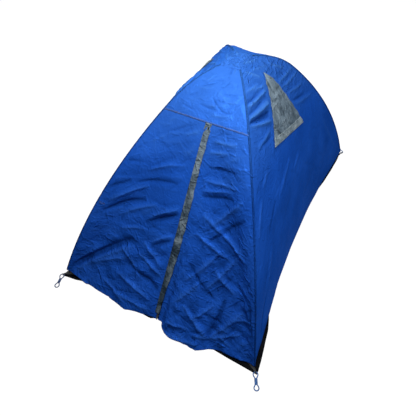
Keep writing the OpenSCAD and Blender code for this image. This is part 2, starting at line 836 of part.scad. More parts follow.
module pole_shock_cord(p) {
    reach = pole_half(p) - spigot_l - cord_end_gap;
    n = cord_sides;
    faces = concat(
        [[for (k = [0:n - 1]) k]],
        [
            for (i = [0:cord_steps - 1], k = [0:n - 1])
                let (a = i * n + k, b = i * n + (k + 1) % n)
                each [[a, a + n, b + n], [a, b + n, b]]
        ],
        [[for (k = [n - 1:-1:0]) cord_steps * n + k]]
    );
    points = [for (i = [0:cord_steps], q = cord_ring(p, reach * (2 * i / cord_steps - 1))) q];
    color("#0e0f12") rotate([0, 0, corner_heading(p)]) polyhedron(points, faces);
}

// Keeper: a band round the pole with a web up to the ridge seam
module pole_keepers(p) {
    inset = inset_of[p];
    ring_d = pole_d + 2 * sleeve_gap;
    ring_out = ring_d + 2 * keeper_t;
    web_top = inset - cover_t - keeper_seat;
    color("#16181b")
        for (side = [0, 1], k = [1:keepers_per_leg]) {
            rotate([0, 0, corner_heading(p) + 180 * side])
                on_pole(p, k * section_l(p))
                    difference() {
                        union() {
                            rotate([0, 90, 0])
                                cylinder(d = ring_out, h = keeper_l, center = true);
                            translate([-keeper_l / 2, -keeper_t / 2, ring_d / 2])
                                cube([keeper_l, keeper_t, web_top - ring_d / 2]);
                        }
                        rotate([0, 90, 0])
                            cylinder(d = ring_d, h = 2 * keeper_l, center = true);
                    }
        }
}

// Where the axis of pole p's tip meets height z, out along the diagonal
function tip_at(p, z) =
    let (t = foot_angle_of(p))
    ridge(t, inset_of[p]).x + (foot_h - z) / tan(t);

// Pole tip: a spigot in the pole's bore, a sleeve that stands on the eyelet, and a pin through it
module pole_tip(c) {
    p = pole_of(c);
    t = foot_angle_of(p);
    sleeve_end_z = eyelet_h + seat_gap + tip_d / 2 * cos(t);
    sleeve_l = (foot_h - sleeve_end_z) / sin(t);
    pin_end_z = seat_gap + pin_d / 2 * cos(t);
    color("#2b2e33") at_corner(c)
        translate([ridge(t, inset_of[p]).x, 0, foot_h])
            rotate([0, 90 + t, 0]) {
                translate([0, 0, -spigot_l])
                    cylinder(d = pole_bore - 2 * sleeve_gap, h = spigot_l + sleeve_l / 2);
                cylinder(d = tip_d, h = sleeve_l);
                cylinder(d = pin_d, h = (foot_h - pin_end_z) / sin(t));
            }
}

module corner_eyelets() {
    inner = eyelet_bore / 2;
    color("#b9bec4")
        for (c = [0:len(corner_names) - 1])
            at_corner(c)
                translate([tip_at(pole_of(c), eyelet_h / 2), 0, 0])
                    rotate_extrude()
                        polygon([
                            [inner, 0], [eyelet_d / 2, 0], [eyelet_d / 2, eyelet_lip],
                            [inner + eyelet_wall, eyelet_lip], [inner + eyelet_wall, eyelet_h - eyelet_lip],
                            [eyelet_d / 2, eyelet_h - eyelet_lip], [eyelet_d / 2, eyelet_h], [inner, eyelet_h]
                        ]);
}

// Cut corner of the tub at the ground, as its two ends
function tub_cut_ends(c) =
    let (x = corner_signs[c].x)
    let (rear = corner_signs[c].y > 0)
    let (end = rear ? tub_rear(0, 0, tub_end_x(0, 0)) : [tub_end_x(0, 0), tub_front_y(0, 0)])
    let (side = tub_side(0, 0, rear ? tub_side_end : -tub_side_end))
    [[x * end.x, end.y], [x * side.x, side.y]];
function heading(a) = [cos(a), sin(a)];
function loop_root(c) = (half_diag + tab_reach) * heading(corner_heading(c));

// Webbing tab: from the tub's cut corner out to the knuckle that holds the peg loop
module corner_tab(c) {
    ends = tub_cut_ends(c);
    along = (ends[1] - ends[0]) / norm(ends[1] - ends[0]);
    out = heading(corner_heading(c));
    inner_end = (ends[0] + ends[1]) / 2 + seat_gap * out;
    loop_way = heading(loop_headings[c]);
    across = [-loop_way.y, loop_way.x];
    outer_end = loop_root(c) - (knuckle_bore / 2 + knuckle_wall / 3) * loop_way;
    side = cross(concat(along, 0), concat(out, 0)).z * cross(concat(across, 0), concat(loop_way, 0)).z;
    turn = side > 0 ? 1 : -1;
    color("#16181b")
        difference() {
            union() {
                translate([0, 0, tab_z])
                    linear_extrude(tab_t)
                        polygon([
                            inner_end - along * tab_w / 2, inner_end + along * tab_w / 2,
                            outer_end + turn * across * knuckle_l / 2, outer_end - turn * across * knuckle_l / 2
                        ]);
                at_knuckle(c)
                    cylinder(d = knuckle_d, h = knuckle_l, center = true);
            }
            at_knuckle(c)
                cylinder(d = knuckle_bore, h = 2 * knuckle_l, center = true);
            at_corner(c)
                translate([tip_at(pole_of(c), eyelet_h / 2), 0, 0])
                    cylinder(d = eyelet_bore + 2 * eyelet_wall + 2 * seat_gap, h = 4 * eyelet_h, center = true);
        }
}

// Frame of a knuckle: Z runs along its bore
module at_knuckle(c) {
    translate(concat(loop_root(c), knuckle_d / 2))
        rotate([0, 0, loop_headings[c]])
            rotate([90, 0, 0])
                children();
}

// Peg loop: an endless cord with two half-round ends, lying on the ground
module peg_loop(c) {
    droop = asin((knuckle_d - loop_d) / 2 / (loop_l + 2 * loop_r));
    color("#123a86")
        translate(concat(loop_root(c), knuckle_d / 2))
            rotate([0, droop, loop_headings[c]])
                translate([loop_r, 0, 0]) {
                    rotate([0, 0, 90])
                        rotate_extrude(angle = 180) translate([loop_r, 0]) circle(d = loop_d);
                    translate([loop_l, 0, 0])
                        rotate([0, 0, -90])
                            rotate_extrude(angle = 180) translate([loop_r, 0]) circle(d = loop_d);
                    for (side = [-1, 1])
                        translate([0, side * loop_r, 0])
                            rotate([0, 90, 0])
                                cylinder(d = loop_d, h = loop_l);
                }
}

groundsheet();
front_upper_panel();
front_left_panel();
front_right_panel();
left_panel();
right_panel();
rear_panel();
crown_patch();
door_left_leaf();
door_right_leaf();
storm_flap();
zip_tape_left();
zip_tape_right();
zip_coil_left();
zip_coil_right();
zip_top_stop();
zip_slider();
zip_pull();
vent_mesh_left();
vent_mesh_right();
vent_flap_left();
vent_flap_right();
corner_eyelets();
for (p = [0, 1]) {
    for (i = [1:pole_sections])
        pole_section(p, i);
    pole_ferrules(p);
    pole_keepers(p);
    pole_shock_cord(p);
}
for (c = [0:len(corner_names) - 1]) {
    pole_tip(c);
    corner_tab(c);
    peg_loop(c);
}
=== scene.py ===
"""Looks of a two-pole dome shelter: crinkled blue cover, grey storm flap and vent flaps, black floor."""
import math

import bmesh
import bpy
import numpy as np
from mathutils import Matrix, Vector


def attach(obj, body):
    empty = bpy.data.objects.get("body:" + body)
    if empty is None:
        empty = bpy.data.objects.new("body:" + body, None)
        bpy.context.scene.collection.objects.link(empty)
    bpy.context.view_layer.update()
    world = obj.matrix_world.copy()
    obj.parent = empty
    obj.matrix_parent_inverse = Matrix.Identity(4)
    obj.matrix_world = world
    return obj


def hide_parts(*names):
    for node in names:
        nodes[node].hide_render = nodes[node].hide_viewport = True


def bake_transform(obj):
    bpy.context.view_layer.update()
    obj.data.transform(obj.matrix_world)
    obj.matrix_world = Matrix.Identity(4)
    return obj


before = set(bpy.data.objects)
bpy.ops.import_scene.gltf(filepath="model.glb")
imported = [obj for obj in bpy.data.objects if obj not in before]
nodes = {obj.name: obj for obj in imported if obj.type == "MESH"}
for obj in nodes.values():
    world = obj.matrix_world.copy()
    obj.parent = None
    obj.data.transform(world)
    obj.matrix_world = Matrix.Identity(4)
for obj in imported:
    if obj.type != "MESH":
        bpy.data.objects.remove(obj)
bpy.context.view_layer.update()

# Sizes of the shelter in metres, as in the part's source
BASE_W, BASE_L, CROWN_H = 1.30, 2.00, 1.15
CROWN_R, CROWN_ANGLE = 0.648, math.radians(38.8)
SIDE_BOW, REAR_BOW, BOW_TOP, BOW_POWER = 0.075, 0.045, 0.85, 1.3
HEM_GAP, CORNER_LIFT, LIFT_RUN = 0.003, 0.035, 0.18
SEAM_Z = CROWN_H - 0.16
ZIP_X, ZIP_EDGE, SLOT_HALF = 0.028, 0.0075, 0.009
FOLD_MARGIN = 0.05
FLAP_SEWN, FLAP_LOW, FLAP_LIFT = 0.022, 0.048, 0.0015
ZIP_TOP_GAP, LEAF_TOP_GAP, FLAP_TOP_GAP = 0.010, 0.004, 0.003
VENT_TOP_Y, VENT_TOP_W, VENT_TOP_Z = 0.030, 0.044, CROWN_H - 0.052
VENT_FRONT, VENT_REAR = (-0.194, CROWN_H - 0.319), (0.237, CROWN_H - 0.415)
VENT_GAP, VENT_MARGIN = 0.0019, 0.032
CLOTH_T = 0.0008
# Length of cloth from the crown to where the panels start
PANEL_START = 0.006

# Ridge profile in the diagonal plane: a tight arc over the crown, a slack arc down each leg
HALF_DIAG = math.hypot(BASE_W, BASE_L) / 2
KX, KY = BASE_W / 2 / HALF_DIAG, BASE_L / 2 / HALF_DIAG
ARC_DROP = CROWN_H - CROWN_R * (1 - math.cos(CROWN_ANGLE))
ARC_REACH = HALF_DIAG - CROWN_R * math.sin(CROWN_ANGLE)
FOOT_ANGLE = 2 * math.atan2(ARC_DROP, ARC_REACH) - CROWN_ANGLE
LEG_R = math.hypot(ARC_DROP, ARC_REACH) / (2 * math.sin((FOOT_ANGLE - CROWN_ANGLE) / 2))
CROWN_CZ = CROWN_H - CROWN_R
LEG_CX = (CROWN_R - LEG_R) * math.sin(CROWN_ANGLE)
LEG_CZ = CROWN_CZ + (CROWN_R - LEG_R) * math.cos(CROWN_ANGLE)


def ease(f):
    f = np.clip(f, 0, 1)
    return f * f * (3 - 2 * f)


def mix(a, b, f):
    return a + (b - a) * f


def stack(*parts):
    """Points from an array for each coordinate."""
    return np.stack(parts, axis=-1)


def add_object(name, data):
    made = bpy.data.objects.new(name, data)
    bpy.context.scene.collection.objects.link(made)
    return made


def reshape(mesh, change):
    """Changes a mesh by a function of its bmesh."""
    bm = bmesh.new()
    bm.from_mesh(mesh)
    change(bm)
    bm.to_mesh(mesh)
    bm.free()


def ridge(t, lift=0.0):
    """Distance from the middle and height of the ridge profile at angle t."""
    on_leg = t > CROWN_ANGLE
    r = np.where(on_leg, LEG_R, CROWN_R) + lift
    return (np.where(on_leg, LEG_CX, 0) + r * np.sin(t), np.where(on_leg, LEG_CZ, CROWN_CZ) + r * np.cos(t))


def reach_at(z, lift=0.0):
    """Distance of the ridge from the middle at height z."""
    crown = np.sqrt(np.maximum(0, (CROWN_R + lift) ** 2 - (z - CROWN_CZ) ** 2))
    leg = LEG_CX + np.sqrt(np.maximum(0, (LEG_R + lift) ** 2 - (z - LEG_CZ) ** 2))
    return np.where(z > CROWN_CZ + (CROWN_R + lift) * math.cos(CROWN_ANGLE), crown, leg)


def angle_down(run):
    """Angle on the profile, a given length of cloth below the crown."""
    crown_run = CROWN_R * CROWN_ANGLE
    return np.where(run < crown_run, run / CROWN_R, CROWN_ANGLE + (run - crown_run) / LEG_R)


def run_down(z):
    """Length of cloth along the ridge from the crown down to height z on a leg."""
    return CROWN_R * CROWN_ANGLE + LEG_R * (np.arccos((z - LEG_CZ) / LEG_R) - CROWN_ANGLE)


def bow(depth, z, s):
    """How far a panel bows in at height z, s of the way from its middle to its edge."""
    return depth * np.maximum(0, 1 - z / BOW_TOP) ** BOW_POWER * (1 - s * s)


def hem_height(from_corner):
    """Height of a hem, which rises towards the corners."""
    return mix(HEM_GAP, CORNER_LIFT, ease(1 - from_corner / LIFT_RUN))


# The lower front hangs in one flat slope, with the zip straight up it
SEAM_Y = KY * float(reach_at(SEAM_Z))
SLOPE_LEAN = math.atan2(BASE_L / 2 - SEAM_Y, SEAM_Z)
SLOPE_L = math.hypot(BASE_L / 2 - SEAM_Y, SEAM_Z)
SIN_L, COS_L = math.sin(SLOPE_LEAN), math.cos(SLOPE_LEAN)
ZIP_TOP = SLOPE_L - ZIP_TOP_GAP
FOLD_FOOT = CORNER_LIFT / COS_L
RIGHT_FOOT_X = BASE_W / 2 - FOLD_MARGIN - ZIP_X
LEFT_FOOT_X = BASE_W / 2 - FOLD_MARGIN + ZIP_X
LEAF_TOP = ZIP_TOP - (SLOT_HALF + LEAF_TOP_GAP) * (ZIP_TOP - FOLD_FOOT) / RIGHT_FOOT_X
FLAP_TOP = ZIP_TOP - (FLAP_SEWN + FLAP_TOP_GAP) * (ZIP_TOP - FOLD_FOOT) / RIGHT_FOOT_X


def on_slope(x, v, h):
    """Points of the sloping front: x across from the zip, v up the slope, h outwards."""
    x, v, h = np.broadcast_arrays(x, v, h)
    return stack(ZIP_X + x, -BASE_L / 2 + v * SIN_L - h * COS_L, v * COS_L + h * SIN_L)


# Camera, from the perspective of the photograph
CAMERA_AT = Vector((0.656, -1.718, 2.105))
YAW, PITCH, ROLL = math.radians(-24.49), math.radians(-49.53), math.radians(2.48)
LENS, SENSOR = 32.21, 36.0


def make_camera():
    ahead = Vector((math.sin(YAW) * math.cos(PITCH), math.cos(YAW) * math.cos(PITCH), math.sin(PITCH)))
    level = Vector((math.cos(YAW), -math.sin(YAW), 0))
    upright = level.cross(ahead)
    right = level * math.cos(ROLL) + upright * math.sin(ROLL)
    up = upright * math.cos(ROLL) - level * math.sin(ROLL)
    camera = add_object("camera", bpy.data.cameras.new("camera"))
    camera.data.lens, camera.data.sensor_width = LENS, SENSOR
    camera.data.clip_start, camera.data.clip_end = 0.05, 100
    camera.matrix_world = Matrix.Translation(CAMERA_AT) @ Matrix((right, up, -ahead)).transposed().to_4x4()
    bpy.context.scene.camera = camera


def soft_box(name, at, target, size, power):
    lamp = add_object(name, bpy.data.lights.new(name, "AREA"))
    lamp.data.shape, lamp.data.size, lamp.data.energy = "DISK", size, power
    lamp.location = at
    lamp.rotation_euler = (Vector(target) - Vector(at)).to_track_quat("-Z", "Y").to_euler()


def by_view(tree, lit, seen, output):
    """Sends an output one shader to light the object and one for what the camera sees, also in a mirror."""
    path = tree.nodes.new("ShaderNodeLightPath")
    value = path.outputs["Is Camera Ray"]
    for ray in ("Is Glossy Ray", "Is Transmission Ray"):
        either = tree.nodes.new("ShaderNodeMath")
        either.operation = "MAXIMUM"
        tree.links.new(value, either.inputs[0])
        tree.links.new(path.outputs[ray], either.inputs[1])
        value = either.outputs["Value"]
    pick = tree.nodes.new("ShaderNodeMixShader")
    for source, socket in zip((value, lit, seen), pick.inputs):
        tree.links.new(source, socket)
    tree.links.new(pick.outputs[0], tree.nodes[output].inputs["Surface"])


# The sky is dim at the horizon and brighter overhead
SKY, HORIZON, ZENITH, SKY_TOP = (0.94, 0.97, 1.0, 1), 0.03, 0.40, 0.9
BACKDROP = (0.98, 0.98, 0.98, 1)
FLOOR_LIT, FLOOR_SEEN, FLOOR_GLOW = (0.10, 0.105, 0.115, 1), (0.2, 0.2, 0.2, 1), 0.93
FLOOR_SIZE, FLOOR_Z = 14, -0.0005
# Name, place, target, size and power of each lamp
LAMPS = (
    ("overhead", (0.16, -0.58, 2.12), (0.02, -0.35, 0.9), 0.7, 23),
    ("side", (2.6, -0.2, 1.9), (0.3, -0.2, 0.5), 1.4, 17),
    ("behind", (-1.7, 2.7, 2.3), (-0.1, 0.4, 0.5), 1.6, 60),
)


def make_world():
    world = bpy.data.worlds.new("studio")
    bpy.context.scene.world = world
    world.use_nodes = True
    tree = world.node_tree
    height = tree.nodes.new("ShaderNodeSeparateXYZ")
    tree.links.new(tree.nodes.new("ShaderNodeTexCoord").outputs["Generated"], height.inputs["Vector"])
    dim = tree.nodes.new("ShaderNodeMapRange")
    for socket, value in (("From Min", 0.0), ("From Max", SKY_TOP), ("To Min", HORIZON), ("To Max", ZENITH)):
        dim.inputs[socket].default_value = value
    tree.links.new(height.outputs["Z"], dim.inputs["Value"])
    sky, backdrop = tree.nodes["Background"], tree.nodes.new("ShaderNodeBackground")
    sky.inputs["Color"].default_value = SKY
    tree.links.new(dim.outputs["Result"], sky.inputs["Strength"])
    backdrop.inputs["Color"].default_value = BACKDROP
    by_view(tree, sky.outputs[0], backdrop.outputs[0], "World Output")


def make_floor():
    mesh = bpy.data.meshes.new("floor")
    reshape(mesh, lambda bm: bmesh.ops.create_grid(bm, x_segments=1, y_segments=1, size=FLOOR_SIZE))
    floor = add_object("floor", mesh)
    floor.location.z = FLOOR_Z
    material = bpy.data.materials.new("pale_floor")
    material.use_nodes = True
    tree = material.node_tree
    tree.nodes.remove(tree.nodes["Principled BSDF"])
    lit, shaded = (tree.nodes.new("ShaderNodeBsdfDiffuse") for _ in range(2))
    glow, pale = tree.nodes.new("ShaderNodeEmission"), tree.nodes.new("ShaderNodeAddShader")
    lit.inputs["Color"].default_value = FLOOR_LIT
    shaded.inputs["Color"].default_value = FLOOR_SEEN
    glow.inputs["Strength"].default_value = FLOOR_GLOW
    tree.links.new(glow.outputs[0], pale.inputs[0])
    tree.links.new(shaded.outputs[0], pale.inputs[1])
    by_view(tree, lit.outputs[0], pale.outputs[0], "Material Output")
    mesh.materials.append(material)


def make_studio():
    bpy.context.scene.view_settings.view_transform = "Standard"
    make_world()
    for lamp in LAMPS:
        soft_box(*lamp)
    make_floor()


# Materials


class Paint:
    """A node material that is built up line by line."""

    def __init__(self, name, roughness, **sockets):
        self.material = bpy.data.materials.new(name)
        self.material.use_nodes = True
        self.tree = self.material.node_tree
        self.shader = self.tree.nodes["Principled BSDF"]
        self.shader.inputs["Roughness"].default_value = roughness
        for socket, value in sockets.items():
            self.shader.inputs[socket.replace("_", " ")].default_value = value
        self.coords = self.node("ShaderNodeTexCoord").outputs

    def node(self, kind, **settings):
        made = self.tree.nodes.new(kind)
        for key, value in settings.items():
            setattr(made, key, value)
        return made

    def link(self, a, b):
        self.tree.links.new(a, b)

    def noise(self, scale, detail=3.0, stretch=None, kind="FBM", distortion=0.0):
        made = self.node("ShaderNodeTexNoise", noise_type=kind)
        made.inputs["Scale"].default_value = scale
        made.inputs["Detail"].default_value = detail
        made.inputs["Distortion"].default_value = distortion
        source = self.coords["Object"]
        if stretch:
            turn = self.node("ShaderNodeMapping")
            turn.inputs["Scale"].default_value = stretch
            self.link(source, turn.inputs["Vector"])
            source = turn.outputs["Vector"]
        self.link(source, made.inputs["Vector"])
        return made.outputs["Fac"]

    def flat(self):
        """The two cloth coordinates, in metres."""
        parts = self.node("ShaderNodeSeparateXYZ")
        self.link(self.coords["UV"], parts.inputs["Vector"])
        return parts.outputs["X"], parts.outputs["Y"]

    def attribute(self, name):
        return self.node("ShaderNodeAttribute", attribute_name=name).outputs["Fac"]

    def math(self, operation, a, b=0.0, clamp=False):
        made = self.node("ShaderNodeMath", operation=operation, use_clamp=clamp)
        for socket, value in zip(made.inputs, (a, b)):
            if isinstance(value, (int, float)):
                socket.default_value = value
            else:
                self.link(value, socket)
        return made.outputs["Value"]

    def ramp(self, factor, *stops):
        made = self.node("ShaderNodeValToRGB")
        elements = made.color_ramp.elements
        for _ in range(len(stops) - 2):
            elements.new(0.5)
        for element, (at, colour) in zip(elements, stops):
            element.position = at
            element.color = (*colour, 1) if hasattr(colour, "__len__") else (colour,) * 3 + (1,)
        self.link(factor, made.inputs["Fac"])
        return made.outputs["Color"]

    def blend(self, factor, a, b):
        made = self.node("ShaderNodeMix", data_type="RGBA")
        sockets = (made.inputs["Factor"], *(s for s in made.inputs if s.type == "RGBA"))
        for socket, value in zip(sockets, (factor, a, b)):
            if isinstance(value, tuple):
                socket.default_value = (*value, 1)
            else:
                self.link(value, socket)
        return next(s for s in made.outputs if s.type == "RGBA")

    def colour(self, socket):
        self.link(socket, self.shader.inputs["Base Color"])

    def rough(self, socket):
        self.link(socket, self.shader.inputs["Roughness"])

    def bump(self, *layers):
        """Stacks (height, strength, distance in metres)."""
        before = None
        for height, strength, distance in layers:
            made = self.node("ShaderNodeBump")
            made.inputs["Strength"].default_value = strength
            made.inputs["Distance"].default_value = distance
            self.link(height, made.inputs["Height"])
            if before:
                self.link(before, made.inputs["Normal"])
            before = made.outputs["Normal"]
        self.link(before, self.shader.inputs["Normal"])


def threads(paint, pitch):
    """Over-and-under weave from two crossed waves on the cloth's own coordinates."""
    waves = []
    for direction in ("X", "Y"):
        made = paint.node("ShaderNodeTexWave", wave_type="BANDS", bands_direction=direction)
        made.inputs["Scale"].default_value = 0.314 / pitch
        paint.link(paint.coords["UV"], made.inputs["Vector"])
        waves.append(made.outputs["Fac"])
    return paint.math("MULTIPLY", *waves)


def creases(paint, cell, slope, share, turn, spread):
    """Short straight creases, one in each cell of cloth, as a height in metres. Turn is their usual way."""
    moved = paint.node("ShaderNodeMapping")
    moved.inputs["Location"].default_value = (3.7 * cell, 11.3 * cell, 0)
    paint.link(paint.coords["UV"], moved.inputs["Vector"])
    cells, borders = (
        paint.node("ShaderNodeTexVoronoi", voronoi_dimensions="2D", feature=kind)
        for kind in ("F1", "DISTANCE_TO_EDGE")
    )
    for made in (cells, borders):
        made.inputs["Scale"].default_value = 1 / cell
        paint.link(moved.outputs["Vector"], made.inputs["Vector"])
    away = paint.node("ShaderNodeVectorMath", operation="SUBTRACT")
    paint.link(moved.outputs["Vector"], away.inputs[0])
    paint.link(cells.outputs["Position"], away.inputs[1])
    parts, chance = paint.node("ShaderNodeSeparateXYZ"), paint.node("ShaderNodeSeparateColor")
    paint.link(away.outputs["Vector"], parts.inputs["Vector"])
    paint.link(cells.outputs["Color"], chance.inputs["Color"])
    swing = paint.math("MULTIPLY", paint.math("SUBTRACT", chance.outputs["Red"], 0.5), spread)
    angle = paint.math("ADD", swing, turn)
    across = paint.math(
        "SUBTRACT",
        paint.math("MULTIPLY", parts.outputs["X"], paint.math("SINE", angle)),
        paint.math("MULTIPLY", parts.outputs["Y"], paint.math("COSINE", angle)),
    )
    aside = paint.math("DIVIDE", paint.math("ABSOLUTE", across), share * cell)
    roof = paint.math("SUBTRACT", 1.0, aside, clamp=True)
    taper = paint.math("MULTIPLY", borders.outputs["Distance"], 3.5, clamp=True)
    strength = paint.math("SUBTRACT", chance.outputs["Green"], 0.35)
    height = paint.math("MULTIPLY", strength, 1.6 * slope * share * cell)
    return paint.math("MULTIPLY", paint.math("MULTIPLY", roof, taper), height)


# Layers of creases: cell size, slope, share of the cell, and the way they favour with its spread
CREASES = (
    (0.140, 0.50, 0.06, 0.6, 2.4), (0.085, 0.50, 0.09, 1.1, 3.1), (0.060, 0.46, 0.12, 0.2, 3.1),
    (0.042, 0.44, 0.16, -1.0, 3.1), (0.029, 0.40, 0.22, 0.8, 3.1), (0.019, 0.38, 0.26, -0.4, 3.1),
)


def stitches(paint, offset, pitch=0.0045, width=0.0011):
    """Two rows of stitches, each an offset from the middle of a strip."""
    across, along = paint.flat()
    off_row = paint.math("ABSOLUTE", paint.math("SUBTRACT", paint.math("ABSOLUTE", across), offset))
    in_row = paint.math("LESS_THAN", off_row, width)
    part = paint.math("FRACT", paint.math("DIVIDE", along, pitch))
    return paint.math("MULTIPLY", in_row, paint.math("LESS_THAN", part, 0.68))


# Tint of the painted highlight that makes the upper cloth paler
TOP_HIGHLIGHT_TINT = (0.036, 0.085, 0.05)
CLOTH_PITCH, NET_PITCH = 0.0011, 0.0025


def coated_cloth(
    name, dark, mid, bright, roughness=0.38, shine=0.10, crinkle=1.0, cloud_scale=4.5, rows=None, thread=None,
    highlight_from=0.75, highlight_tint=TOP_HIGHLIGHT_TINT, highlight_shift=0.0,
):
    """Thin coated cloth: clouded dye, paler towards the top as a painted highlight, crests paler from wear
    and a painted highlight, valleys darkened with painted shade, a fine crinkle, the weave and any stitch
    rows.
    """
    # Colour of the painted highlight, towards which the top and the crests go
    highlight_colour = tuple(0.85 * part + tint for part, tint in zip(bright, highlight_tint))
    paint = Paint(name, roughness, Specular_IOR_Level=0.0, Metallic=shine, Specular_Tint=(0.3, 0.5, 0.9, 1))
    height = paint.node("ShaderNodeSeparateXYZ")
    paint.link(paint.coords["Object"], height.inputs["Vector"])
    # Painted highlight: the cloth turns paler above a given height, as light falls on the top, and the
    # clouded dye is lifted there by a given shift
    top_highlight = paint.math("MULTIPLY", paint.math("SUBTRACT", height.outputs["Z"], highlight_from), 1.6, clamp=True)
    cloud = paint.math("ADD", paint.noise(cloud_scale, detail=5), paint.math("MULTIPLY", top_highlight, highlight_shift))
    base = paint.ramp(cloud, (0.36, dark), (0.5, mid), (0.64, bright))
    fold = paint.attribute("crease")
    # Crests go paler, from wear and as a painted highlight; valleys go darker as painted shade
    crest_wear_and_highlight = paint.math("MULTIPLY", fold, paint.math("ADD", top_highlight, 0.15), clamp=True)
    painted_valley_shade = paint.math("MULTIPLY", fold, -0.75, clamp=True)
    base = paint.blend(paint.math("MULTIPLY", top_highlight, 0.7), base, highlight_colour)
    base = paint.blend(crest_wear_and_highlight, base, highlight_colour)
    base = paint.blend(painted_valley_shade, base, tuple(0.5 * part for part in dark))
    fine = paint.noise(38, detail=5, kind="RIDGED_MULTIFRACTAL", distortion=0.4)
    grain = paint.noise(85, detail=4, distortion=0.6)
    paint.rough(paint.ramp(grain, (0.3, roughness - 0.09), (0.7, roughness + 0.1)))
    creased = 0.0
    for crease in CREASES:
        creased = paint.math("ADD", creases(paint, *crease), creased)
    creased = paint.math("MULTIPLY", creased, paint.attribute("crumple"))
    layers = [
        (creased, 1.0, crinkle), (fine, 0.36 * crinkle, 0.003), (grain, 0.5 * crinkle, 0.002),
        (threads(paint, CLOTH_PITCH), 0.12, 0.0002),
    ]
    if rows is not None:
        sewn = stitches(paint, rows)
        base = paint.blend(sewn, base, thread)
        layers.append((sewn, 0.5, 0.0008))
    paint.colour(base)
    paint.bump(*layers)
    return paint.material


BLUE = (0.0090, 0.072, 0.41), (0.0105, 0.082, 0.46), (0.0130, 0.093, 0.505)
GREY = (0.022, 0.038, 0.056), (0.058, 0.090, 0.124), (0.18, 0.235, 0.28)
# Paler grey of the vent hem bands: a painted highlight where the folded hem catches the light
HEM_HIGHLIGHT_GREY = (0.16, 0.21, 0.25), (0.23, 0.29, 0.335), (0.31, 0.37, 0.41)
BLACK = (0.0045, 0.005, 0.006), (0.0075, 0.008, 0.0095), (0.014, 0.0155, 0.018)
DEEP_BLUE = (0.004, 0.036, 0.21), (0.006, 0.048, 0.27), (0.01, 0.07, 0.36)
DULL_BLUE = (0.012, 0.066, 0.33), (0.016, 0.08, 0.40), (0.022, 0.1, 0.46)
THREAD, DULL_THREAD = (0.004, 0.022, 0.10), (0.085, 0.10, 0.17)


def grained(name, roughness, grain, dark, pale, bump, rough=None, **sockets):
    """A plain paint: its colour, and its roughness where stops are given for it, follow a grain."""
    paint = Paint(name, roughness, **sockets)
    texture = paint.noise(**grain)
    paint.colour(paint.ramp(texture, dark, pale))
    if rough:
        paint.rough(paint.ramp(texture, *rough))
    paint.bump((texture, *bump))
    return paint.material


def insect_net():
    paint = Paint("insect_net", 0.8)
    strands = threads(paint, NET_PITCH)
    paint.colour(paint.ramp(strands, (0.1, (0.05, 0.055, 0.06)), (0.4, (0.006, 0.007, 0.008))))
    paint.bump((strands, 0.6, 0.0006))
    return paint.material


def braided_cord(name, dark, pale):
    paint = Paint(name, 0.6, Sheen_Weight=0.2)
    braid = paint.node("ShaderNodeTexWave", wave_type="BANDS", bands_direction="DIAGONAL")
    braid.inputs["Scale"].default_value = 130
    braid.inputs["Distortion"].default_value = 1.5
    paint.link(paint.coords["Object"], braid.inputs["Vector"])
    paint.colour(paint.ramp(braid.outputs["Fac"], (0.25, dark), (0.75, pale)))
    paint.bump((braid.outputs["Fac"], 0.7, 0.0006))
    return paint.material


def make_materials():
    return {
        "cover": coated_cloth("blue_cover_cloth", *BLUE),
        "ridge": coated_cloth("blue_seam_lap", *DEEP_BLUE, rows=0.0042, thread=THREAD, crinkle=0.5),
        "seam": coated_cloth("front_seam_tape", *DULL_BLUE, rows=0.0022, thread=DULL_THREAD, crinkle=0.5),
        # The grey cloth is painted lighter at the top and darker lower down, as painted light and shade
        "grey": coated_cloth(
            "grey_flap_cloth", *GREY, roughness=0.45, shine=0.1, crinkle=1.3, cloud_scale=17,
            highlight_from=0.45, highlight_tint=(0.01, 0.02, 0.03), highlight_shift=0.075,
        ),
        "grey_hem": coated_cloth(
            "grey_hem_band", *HEM_HIGHLIGHT_GREY, roughness=0.5, shine=0.1, cloud_scale=26, rows=0.0135,
            thread=(0.10, 0.13, 0.15),
        ),
        "floor": coated_cloth("black_floor_sheet", *BLACK, roughness=0.4, shine=0.0),
        "tape": coated_cloth(
            "black_zip_tape", *BLACK, roughness=0.7, shine=0.0, crinkle=0.3,
            rows=0.0045, thread=(0.03, 0.032, 0.036),
        ),
        "webbing": grained(
            "black_webbing", 0.75, dict(scale=900, detail=2, stretch=(1, 0.3, 1)),
            (0.3, (0.005, 0.006, 0.007)), (0.7, (0.016, 0.017, 0.02)), (0.6, 0.0006), Sheen_Weight=0.2,
        ),
        "net": insect_net(),
        "rod": grained(
            "black_fibre_rod", 0.32, dict(scale=260, detail=4), (0.35, (0.008, 0.009, 0.01)),
            (0.7, (0.02, 0.021, 0.023)), (0.15, 0.0003), rough=((0.3, 0.26), (0.7, 0.42)),
        ),
        "steel": grained(
            "drawn_steel", 0.3, dict(scale=420, detail=4, stretch=(1, 1, 0.2)), (0.3, (0.42, 0.43, 0.45)),
            (0.7, (0.62, 0.63, 0.65)), (0.1, 0.0002), rough=((0.3, 0.22), (0.7, 0.42)), Metallic=1.0,
        ),
        "dark_metal": grained(
            "dark_lacquered_metal", 0.35, dict(scale=800, detail=3), (0.35, (0.02, 0.021, 0.024)),
            (0.72, (0.07, 0.073, 0.08)), (0.1, 0.0002), Metallic=0.6,
        ),
        "coil": grained(
            "black_nylon_coil", 0.42, dict(scale=700, detail=2), (0.35, (0.006, 0.006, 0.007)),
            (0.7, (0.02, 0.02, 0.023)), (0.4, 0.0004),
        ),
        "blue_cord": braided_cord("blue_cord", (0.012, 0.06, 0.22), (0.07, 0.20, 0.50)),
        "navy_cord": braided_cord("navy_cord", (0.005, 0.018, 0.07), (0.02, 0.06, 0.18)),
    }


# Sheets of cloth


# Height of a fold at which the paler crest (wear and a painted highlight) and the painted shade in a valley
# are full
FOLD_WEAR_AND_SHADE_AT = 0.006


